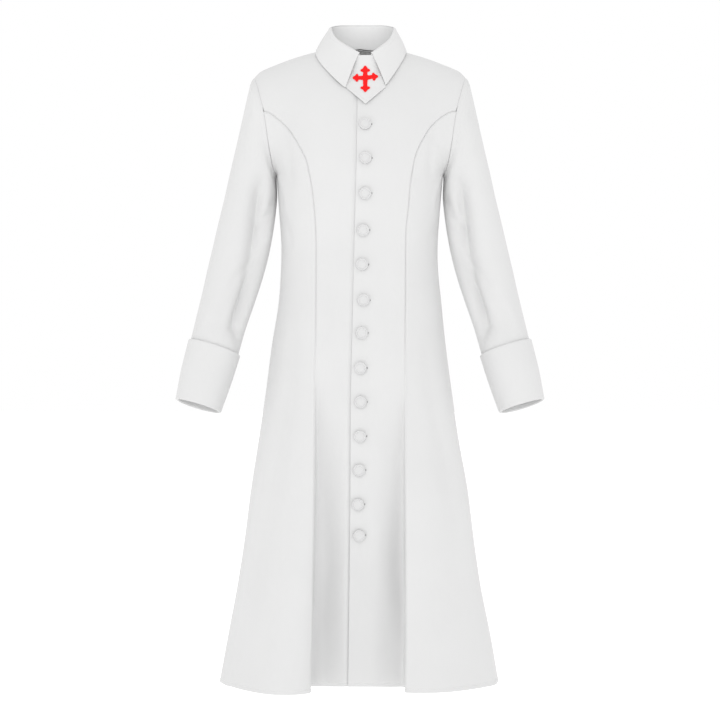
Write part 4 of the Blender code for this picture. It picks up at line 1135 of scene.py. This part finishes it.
def neck_ring(steps):
    """Neckline points from one front end round the back to the other, with their place along the ring."""
    halves = []
    for side in (-1, 1):
        half = []
        for share in shares(steps):
            turn, rise = neck_place(-1, share)
            half.append((side * (1.0 - 0.5 * share), body(side, turn, rise)))
        for share in reversed(shares(steps)[:-1]):
            turn, rise = neck_place(1, share)
            half.append((side * 0.5 * share, body(side, 2.0 - turn, rise)))
        halves.append(half)
    return halves[0] + list(reversed(halves[1][:-1]))


def make_stand(material):
    """Band that rises from the neckline to the collar's fold."""
    lines = []
    for level in shares(14):
        line = []
        for share, base in neck_ring(26):
            base = base.copy()
            if abs(share) > 0.999:
                base = body(1, STAND_END_TURN, NECK_RISE_FRONT + 0.005)
                base.x += 0.0006 if share > 0.0 else -0.0006
            top = collar_line(FOLD_LINE, share, 1.0) + Vector((0.0, 0.0, 0.0015))
            point = base.lerp(top, level)
            point.z += (0.0008 + 0.0014 * smooth((abs(share) - 0.8) / 0.15)) * (1.0 - level)
            line.append(point)
        lines.append(line)
    grid = np.array(lines)
    normals = facing(grid_normals(grid), 7, 1.0)
    add_sheet("collar_stand", grid, normals, material, thick=STAND_CLOTH, bevel=RIM_BEVEL, flat=(0.41, 0.06),
              held="stretched", rests_on=["robe_back_left", "robe_back_right"], area=0.0175)


def leaf_edge_point(tree, whole, share):
    """Outer edge of the leaf, lying just over the fronts and, behind them, over the shoulders and the back."""
    edge = collar_line(LEAF_EDGE, share, 0.3 + 0.7 * smooth((abs(share) - 0.5) / 0.5))
    seat = edge.copy()
    if abs(share) < 0.60:
        spot, normal, _, _ = whole.find_nearest(edge)
        if normal.dot(edge - spot) < 0.0:
            normal = -normal
        seat = spot + normal * LEAF_SEAT
    if abs(share) > 0.5:
        part = 2.0 * abs(share) - 1.0
        swell = (1.0 if share < 0.0 else 0.25) * math.sin(math.pi * min(part, 1.0)) ** 0.7
        edge.x += math.copysign(LEAF_SWELL_OUT, share) * swell
        edge.z -= LEAF_SWELL_DOWN * swell + (0.0048 * part ** 3 if share < 0.0 else 0.0)
        lift = LEAF_SEAT + (LEAF_LIFT - LEAF_SEAT) * smooth((abs(share) - 0.72) / 0.18)
        over, _ = on_front(tree, edge.x, min(edge.z, -0.006), lift)
        return seat.lerp(over, smooth((abs(share) - 0.5) / 0.08))
    return seat


def leaf_column(tree, whole, share, levels):
    """One column of the leaf: from the stand's top, over the roll and down to the outer edge."""
    fold = collar_line(FOLD_LINE, share, 1.0)
    ahead = collar_line(FOLD_LINE, min(share + 0.01, 1.0), 1.0)
    behind = collar_line(FOLD_LINE, max(share - 0.01, -1.0), 1.0)
    tangent = (ahead - behind).normalized()
    edge = leaf_edge_point(tree, whole, share)
    way = Vector((tangent.y, -tangent.x, 0.0)).normalized()
    if way.dot(edge - fold) < 0.0:
        way = -way
    up = Vector((0.0, 0.0, 1.0))
    up = (up - tangent * tangent.z).normalized()
    roll = LEAF_ROLL + 0.0012 * smooth((abs(share) - 0.7) / 0.20) - 0.0030 * smooth((abs(share) - 0.90) / 0.10)
    base = fold + up * (WALL + 0.0013) - way * 0.0016
    across = roll + LEAF_ROLL_OUT
    start = base + way * across - up * roll
    column = []
    for level in levels:
        if level < ROLL_SHARE:
            angle = 0.5 * math.pi * level / ROLL_SHARE
            point = base + way * across * math.sin(angle) - up * roll * (1.0 - math.cos(angle))
        else:
            down = (level - ROLL_SHARE) / (1.0 - ROLL_SHARE)
            point = start.lerp(edge, down)
            point += way * LEAF_SPRING * math.sin(math.pi * down) * (1.0 - 0.4 * abs(share))
        column.append(point)
    return column


def press_edge(grid, normals, edges, line, depth):
    """Press a topstitched line into a sheet at a set distance from the named edges, and round the rim up."""
    run = np.full(grid.shape[:2], 1.0)
    for edge in edges:
        run = np.minimum(run, run_from(grid, edge))
    trough = depth * hump(run, line, STITCH_GROOVE)
    return raised(grid, normals, 0.5 * depth * hump(run, 0.4 * line, 0.45 * line) - trough)


def make_leaf(tree, whole, material):
    """Fold-over leaf of the collar with its two points."""
    ends = [share * 0.12 for share in EDGE_SHARES]
    spread = [-1.0 + share for share in ends] + [-0.99 + 1.98 * share for share in shares(92)]
    spread += [1.0 - share for share in reversed(ends)]
    levels = [ROLL_SHARE * share for share in shares(8)[:-1]] + [ROLL_SHARE + 0.72 * share for share in shares(20)]
    levels += [0.935, 0.948, 0.96, 0.972, 0.984, 0.993, 1.0]
    columns = [leaf_column(tree, whole, share, levels) for share in spread]
    grid = np.array(columns).transpose(1, 0, 2)
    normals = facing(grid_normals(grid), 20, 1.0)
    grid = press_edge(grid, normals, ("last_row", "first_column", "last_column"), LEAF_STITCH, 0.00035)
    add_sheet("collar_leaf", grid, normals, material, thick=COLLAR_CLOTH, bevel=RIM_BEVEL, flat=(0.47, 0.10),
              held="folded", rests_on=["robe_collar_stand"], area=0.030)


def search_tree(grids):
    """Search tree of several grids of points."""
    points = []
    faces = []
    for grid in grids:
        number = len(points) + np.arange(grid.shape[0] * grid.shape[1]).reshape(grid.shape[:2])
        points += grid.reshape(-1, 3).tolist()
        faces += corners_of(number).reshape(-1, 4).tolist()
    return BVHTree.FromPolygons(points, faces)


def front_tree():
    """Search tree of the fronts before the under layer is dropped, carried on above the neckline."""
    grids = [GRIDS["bare_front_left"], GRIDS["bare_front_right"]]
    for side in (1, -1):
        grids.append(np.array([[body(side, 0.45 * share, NECK_RISE_FRONT - 0.04 + 0.30 * level)
                                for share in shares(30)] for level in shares(24)]))
    return search_tree(grids)


def on_front(tree, world, height, lift):
    """Point over the front at a sideways place and height, and the outward direction there."""
    spot, normal, _, _ = tree.ray_cast(Vector((world, -1.0, height)), Vector((0.0, 1.0, 0.0)))
    if spot is None:
        spot, normal, _, _ = tree.find_nearest(Vector((world, -0.08, height)))
    if normal.y > 0.0:
        normal = -normal
    return spot + normal * lift, normal


def tab_point(tree, world, height, lift):
    """Point on the neck tab's front face, which runs from the stand down to the chest."""
    depth = TAB_PROFILE("depth", height)
    away = world - TAB_CENTRE
    upper = depth + TAB_CURVE * away * away - lift
    if height > TAB_LOOSE_HEIGHT:
        return Vector((world, upper, height))
    lower = on_front(tree, world, height, lift + 0.0014 + 0.0022 * smooth((-0.080 - height) / 0.025))[0].y
    share = smooth((TAB_LOOSE_HEIGHT - height) / 0.022)
    return Vector((world, upper + (lower - upper) * share, height))


def tab_half(height):
    if height > TAB_SIDE_HEIGHT:
        share = (TAB_TOP_HEIGHT - height) / (TAB_TOP_HEIGHT - TAB_SIDE_HEIGHT)
        return TAB_TOP_HALF + (TAB_SIDE_HALF - TAB_TOP_HALF) * share
    share = (height - TAB_POINT_HEIGHT) / (TAB_SIDE_HEIGHT - TAB_POINT_HEIGHT)
    return TAB_POINT_HALF + (TAB_SIDE_HALF - TAB_POINT_HALF) * share


def tab_slope():
    """How far the tab's lower edges run out for each metre up, and the length of that run."""
    slope = (TAB_SIDE_HALF - TAB_POINT_HALF) / (TAB_SIDE_HEIGHT - TAB_POINT_HEIGHT)
    return slope, math.sqrt(1.0 + slope * slope)


def make_tab(tree, material):
    """Five-sided tab between the collar points, with its edges turned in and stitched."""
    heights = [TAB_POINT_HEIGHT + (TAB_SIDE_HEIGHT - TAB_POINT_HEIGHT) * share for share in shares(26)]
    heights += [TAB_SIDE_HEIGHT + (TAB_TOP_HEIGHT - TAB_SIDE_HEIGHT) * share for share in shares(34)[1:]]
    lines = []
    for height in heights:
        half = tab_half(height)
        line = []
        for share in seam_shares(28):
            place = TAB_CENTRE + half * (2.0 * share - 1.0)
            line.append(tab_point(tree, place, height, WALL))
        lines.append(line)
    grid = np.array(lines)
    normals = facing(grid_normals(grid), 30, -1.0)
    slope, length = tab_slope()
    inside = []
    for line in lines:
        inside.append([])
        for point in line:
            lower = (point.z - TAB_POINT_HEIGHT) * slope + TAB_POINT_HALF - abs(point.x - TAB_CENTRE)
            upper = tab_half(max(point.z, TAB_SIDE_HEIGHT)) - abs(point.x - TAB_CENTRE)
            inside[-1].append(min(lower / length, upper))
    run = np.array(inside)
    relief = 0.00016 * hump(run, 0.0, 0.0022) - 0.00030 * hump(run, TAB_STITCH, STITCH_GROOVE)
    grid = raised(grid, normals, relief)
    add_sheet("neck_tab", grid, normals, material, thick=COLLAR_CLOTH, bevel=RIM_BEVEL, flat=(0.083, 0.115),
              held="laid", rests_on=["robe_front_left", "robe_front_right"], area=0.0064)


def select_parts(piece, kind, test):
    """In edit mode, select only those faces or edges that pass a test."""
    bpy.ops.mesh.select_mode(type=kind)
    bpy.ops.mesh.select_all(action="DESELECT")
    form = bmesh.from_edit_mesh(piece.data)
    for part in form.faces if kind == "FACE" else form.edges:
        part.select = test(part)
    bmesh.update_edit_mesh(piece.data)


def on_rim(edge):
    first, second = (corner.co for corner in edge.verts)
    return abs(first.z - second.z) < 1e-6 and min(first.xy.length, second.xy.length) > BUTTON_RADIUS * 0.925


def make_buttons(tree, material):
    """Self-covered buttons: one is modelled, and each of the others is a copy with its own lean."""
    deselect()
    bpy.ops.mesh.primitive_cylinder_add(vertices=40, radius=BUTTON_RADIUS * 0.93, depth=0.0056,
                                        end_fill_type="NGON", location=(0.0, 0.0, 0.0030))
    master = bpy.context.object
    bpy.ops.object.mode_set(mode="EDIT")
    select_parts(master, "FACE", lambda face: face.normal.z > 0.9)
    for thickness, depth in BUTTON_RINGS:
        bpy.ops.mesh.inset(thickness=thickness, depth=depth)
    select_parts(master, "EDGE", on_rim)
    bpy.ops.mesh.bevel(offset=0.0013, segments=4)
    bpy.ops.mesh.select_all(action="SELECT")
    bpy.ops.mesh.normals_make_consistent(inside=False)
    bpy.ops.object.mode_set(mode="OBJECT")
    # The cloth bulges a little over the rim and puckers round it
    for corner in master.data.vertices:
        angle = math.atan2(corner.co.y, corner.co.x)
        out = math.hypot(corner.co.x, corner.co.y)
        bulge = 1.0 + 0.06 * hump(corner.co.z, 0.0022, 0.0016)
        pucker = 0.00009 * math.sin(17.0 * angle) * smooth((out - 0.006) / 0.005)
        corner.co.x *= bulge
        corner.co.y *= bulge
        corner.co.z += pucker + 0.00012 * math.sin(3.0 * angle + 0.7) * smooth(1.0 - out / 0.009)
    finer = master.modifiers.new("finer", "SUBSURF")
    finer.levels = finer.render_levels = 1
    apply_all(master)
    bpy.ops.object.shade_smooth()
    master.data.transform(master.matrix_world)
    master.matrix_world = Matrix.Identity(4)
    unwrap_flat(master.data)
    master.data.materials.append(material)
    for number, values in enumerate(BUTTONS.named(), 1):
        spot, normal = on_front(tree, values["place"], values["height"], BUTTON_LIFT)
        piece = new_piece("robe_button_%02d" % number, master.data.copy())
        turn = Matrix.Rotation(math.radians(values["turn"]), 4, "Z")
        lean = Matrix.Rotation(math.radians(values["lean"]), 4, "Y")
        stand = normal.to_track_quat("Z", "Y").to_matrix().to_4x4()
        piece.data.transform(Matrix.Translation(spot) @ stand @ lean @ turn)
        declare(piece, ["button_%02d" % number], "button_cloth")
    bpy.data.objects.remove(master, do_unlink=True)


def unwrap_flat(mesh):
    """Give a small piece a UV map in metres, seen from above."""
    layer = mesh.uv_layers.active
    layer.name = "cloth"
    for corner in mesh.loops:
        layer.data[corner.index].uv = mesh.vertices[corner.vertex_index].co.xy


def thread_bar(start, end, up, radius):
    """Short stitch: a low-sided capsule from start to end, sunk a little at both ends."""
    way = end - start
    length = way.length
    way.normalize()
    side = up.cross(way).normalized()
    points = []
    for share, size, lift in STITCH_RINGS:
        centre = start + way * (length * share) + up * (radius * lift)
        for step in range(6):
            angle = math.pi * step / 3.0
            points.append(centre + (side * math.cos(angle) + up * math.sin(angle)) * (radius * size))
    faces = [(5, 4, 3, 2, 1, 0), tuple(range(24, 30))]
    for ring in range(4):
        for step in range(6):
            after = (step + 1) % 6
            faces.append((ring * 6 + step, ring * 6 + after, ring * 6 + 6 + after, ring * 6 + 6 + step))
    return points, faces


def stitch_piece(name, stitches, radius, material):
    """Join many stitches, each a start, an end and an up direction, into one piece."""
    points = []
    faces = []
    for start, end, up in stitches:
        more, more_faces = thread_bar(start, end, up, radius)
        faces += [tuple(len(points) + number for number in face) for face in more_faces]
        points += more
    mesh = bpy.data.meshes.new(name)
    mesh.from_pydata(points, [], faces)
    form = bmesh.new()
    form.from_mesh(mesh)
    bmesh.ops.recalc_face_normals(form, faces=form.faces)
    form.to_mesh(mesh)
    form.free()
    mesh.shade_smooth()
    mesh.materials.append(material)
    declare(new_piece(name, mesh), [], "robe_cloth")


def stitch_along(line, ups, pitch, gap):
    """Stitches of one pitch along a polyline, with a gap between them."""
    points = np.array(line)
    ups = np.array(ups)
    run = np.concatenate([[0.0], np.cumsum(np.linalg.norm(np.diff(points, axis=0), axis=1))])
    count = max(int(run[-1] / pitch), 1)

    def spot(place, values):
        return Vector([np.interp(place, run, values[:, axis]) for axis in range(3)])

    stitches = []
    for number in range(count):
        begin = run[-1] * number / count + 0.5 * gap
        end = run[-1] * (number + 1) / count - 0.5 * gap
        stitches.append((spot(begin, points), spot(end, points), spot(begin, ups).normalized()))
    return stitches


def row_at(grid, normals, distance, edge):
    """Line in a grid that keeps one distance from an edge, with the directions there."""
    run = run_from(grid, edge)
    line = []
    ups = []
    if "row" in edge:
        run, grid, normals = run.T, grid.transpose(1, 0, 2), normals.transpose(1, 0, 2)
    for here, points, ways in zip(run, grid, normals):
        order = np.argsort(here)
        line.append([np.interp(distance, here[order], points[order, axis]) for axis in range(3)])
        ups.append([np.interp(distance, here[order], ways[order, axis]) for axis in range(3)])
    return line, ups


def sew(name, kind, paths, material):
    """Even stitches along several lines, in one piece."""
    pitch, gap, radius = STITCHES[kind]
    stitches = [stitch for line, ups in paths for stitch in stitch_along(line, ups, pitch, gap)]
    stitch_piece(name, stitches, radius, material)


def make_hem_stitches(material):
    for kind in PANELS:
        for name in (kind + "_left", kind + "_right"):
            sew("hem_stitches_" + name, "hem", [row_at(*GRIDS[name], HEM_LINE, "first_row")], material)


def make_leaf_stitches(material):
    paths = []
    for edge, first in (("last_row", 6), ("first_column", 9), ("last_column", 9)):
        line, ups = row_at(*GRIDS["collar_leaf"], LEAF_STITCH, edge)
        paths.append((line[first:-6], ups[first:-6]))
    sew("collar_leaf_stitches", "leaf", paths, material)


def make_tab_stitches(tree, material):
    """Topstitching a presser foot's width inside the tab's lower edges and sides."""
    slope, length = tab_slope()
    point_height = TAB_POINT_HEIGHT + (TAB_STITCH * length - TAB_POINT_HALF) / slope
    corner_half = TAB_SIDE_HALF - TAB_STITCH * 1.02
    corner_height = point_height + corner_half / slope
    paths = []
    for side in (-1.0, 1.0):
        lower = []
        upper = []
        for share in shares(14):
            lower.append((side * corner_half * share, point_height + (corner_height - point_height) * share))
            height = corner_height + (TAB_TOP_HEIGHT - 0.018 - corner_height) * share
            upper.append((side * (tab_half(max(height, TAB_SIDE_HEIGHT)) - TAB_STITCH), height))
        for path in (lower, upper):
            line = [tab_point(tree, TAB_CENTRE + place, height, WALL + 0.00002) for place, height in path]
            paths.append((line, [(0.0, -1.0, 0.15)] * len(line)))
    sew("neck_tab_stitches", "tab", paths, material)


def make_buttonholes(tree, material):
    """Worked buttonholes: two lips of close cross stitches and a bar at the end that shows past the button."""
    for number, values in enumerate(BUTTONS.named(), 1):
        stitches = []
        start = values["place"] - 0.006
        end = values["place"] + BUTTON_RADIUS + 0.0006
        count = round((end - start) / 0.0005)
        for step in range(count):
            place = start + (end - start) * step / count
            for lip in (-1.0, 1.0):
                near, up = on_front(tree, place, values["height"] + lip * 0.0002, 0.00028)
                far, _ = on_front(tree, place, values["height"] + lip * 0.0019, 0.00020)
                stitches.append((near, far, up))
        for step in range(4):
            place = end + 0.0002 + 0.0004 * step
            low, up = on_front(tree, place, values["height"] - 0.0019, 0.00030)
            high, _ = on_front(tree, place, values["height"] + 0.0019, 0.00030)
            stitches.append((low, high, up))
        stitch_piece("buttonhole_%02d" % number, stitches, BUTTONHOLE_THREAD, material)


def cross_outline():
    """Outline of the budded cross, arm by arm: neck, side lobe, notch, pointed tip and back."""
    points = []
    for values in CROSS_ARMS.named():
        bud = values["bud"]
        lobe = values["lobe"]
        half = [(ARM_HALF, ARM_HALF)]
        half.append((bud - 0.0062, ARM_HALF * 0.86))
        for step in range(7):
            angle = math.radians(-130.0 + 220.0 * step / 6.0)
            half.append((bud + 0.0026 * math.sin(angle) - 0.0004, lobe - 0.0028 + 0.0028 * math.cos(angle)))
        half.append((bud + 0.0036, 0.0044))
        half.append((values["tip"] - 0.0022, 0.0026))
        half.append((values["tip"] - 0.0004, 0.0008))
        turn = math.radians(values["turn"])
        ordered = [(reach, -out) for reach, out in half] + [(reach, out) for reach, out in reversed(half)]
        for reach, out in ordered:
            points.append((math.sin(turn) * reach + math.cos(turn) * out,
                           -math.cos(turn) * reach + math.sin(turn) * out))
    return points


def make_cross(tree, material):
    """Embroidered cross: a rounded pad of thread that follows the tab."""
    outline = cross_outline()
    curve = bpy.data.curves.new("cross outline", "CURVE")
    curve.dimensions = "2D"
    curve.fill_mode = "BOTH"
    curve.extrude = 0.0002
    curve.bevel_depth = 0.00045
    curve.bevel_resolution = 3
    line = curve.splines.new("POLY")
    line.points.add(len(outline) - 1)
    for spot, place in zip(line.points, outline):
        spot.co = (place[0], place[1], 0.0, 1.0)
    line.use_cyclic_u = True
    choose(new_piece("robe_cross", curve))
    bpy.ops.object.convert(target="MESH")
    piece = bpy.context.object
    remesh = piece.modifiers.new("even mesh", "REMESH")
    remesh.mode = "VOXEL"
    remesh.voxel_size = 0.00040
    apply_all(piece)
    for corner in piece.data.vertices:
        across, up, lift = corner.co
        place = TAB_CENTRE + CROSS_SHIFT + across
        height = CROSS_CENTRE + up
        corner.co = tab_point(tree, place, height, WALL + 0.0009 + lift)
    bpy.ops.object.shade_smooth()
    piece.data.materials.clear()
    piece.data.materials.append(material)
    declare(piece, ["cross"], "red_embroidery")


def make_stage():
    """Plain pale floor under the hem."""
    deselect()
    bpy.ops.mesh.primitive_plane_add(size=60.0, location=(0.0, 0.0, HEM_HEIGHT - 0.25))
    floor = bpy.context.object
    floor.name = "studio_floor"
    material, tree, shader = new_material("studio floor")
    shader["Base Color"].default_value = grey(0.96, 0.0)
    shader["Roughness"].default_value = 0.9
    shader["Emission Color"].default_value = grey(1.0, 0.0)
    shader["Emission Strength"].default_value = 0.25
    floor.data.materials.append(material)


def make_studio():
    """White surroundings with a soft light before and behind, and the camera of the photograph."""
    world = bpy.data.worlds.new("studio")
    world.use_nodes = True
    back = world.node_tree.nodes["Background"]
    back.inputs["Color"].default_value = grey(1.0, 0.0)
    back.inputs["Strength"].default_value = 1.0
    bpy.context.scene.world = world
    bpy.context.scene.view_settings.view_transform = "Standard"
    for name, (place, power) in LIGHTS.items():
        data = bpy.data.lights.new(name, "AREA")
        data.shape = "SQUARE"
        data.size = LIGHT_SIZE
        data.energy = power
        light = new_piece(name, data)
        light.location = place
        light.rotation_euler = (Vector(LIGHT_TARGET) - Vector(place)).to_track_quat("-Z", "Y").to_euler()
    data = bpy.data.cameras.new("camera")
    data.lens = CAMERA_LENS
    data.sensor_width = 36.0
    camera = new_piece("camera", data)
    camera.location = CAMERA_PLACE
    camera.rotation_euler = (0.5 * math.pi, 0.0, 0.0)
    bpy.context.scene.camera = camera


def main():
    make_studio()
    make_stage()
    GROUPS.update(twill=twill_group(), mottle=mottle_group(), strands=strand_group())
    cloth, firm, inner, covered = (cloth_material(**row) for row in CLOTHS.named())
    thread, worked, red = (thread_material(**row) for row in THREADS.named())
    for side in (-1, 1):
        for kind in PANELS:
            make_panel(kind, side, cloth)
        make_sleeve(side, cloth)
        make_cuff(side, cloth)
    # The band's cloth is painted lighter, as painted light inside the neck
    make_stand(inner)
    tree = front_tree()
    whole = search_tree([GRIDS["bare_front_left"], GRIDS["bare_front_right"], GRIDS["back_left"][0],
                         GRIDS["back_right"][0]])
    make_leaf(tree, whole, firm)
    make_tab(tree, firm)
    make_cross(tree, red)
    # The buttons' cloth is painted darker, as painted shade
    make_buttons(tree, covered)
    # The buttonhole thread is painted grey, as painted shade past each button
    make_buttonholes(tree, worked)
    make_hem_stitches(thread)
    make_leaf_stitches(thread)
    make_tab_stitches(tree, thread)


main()
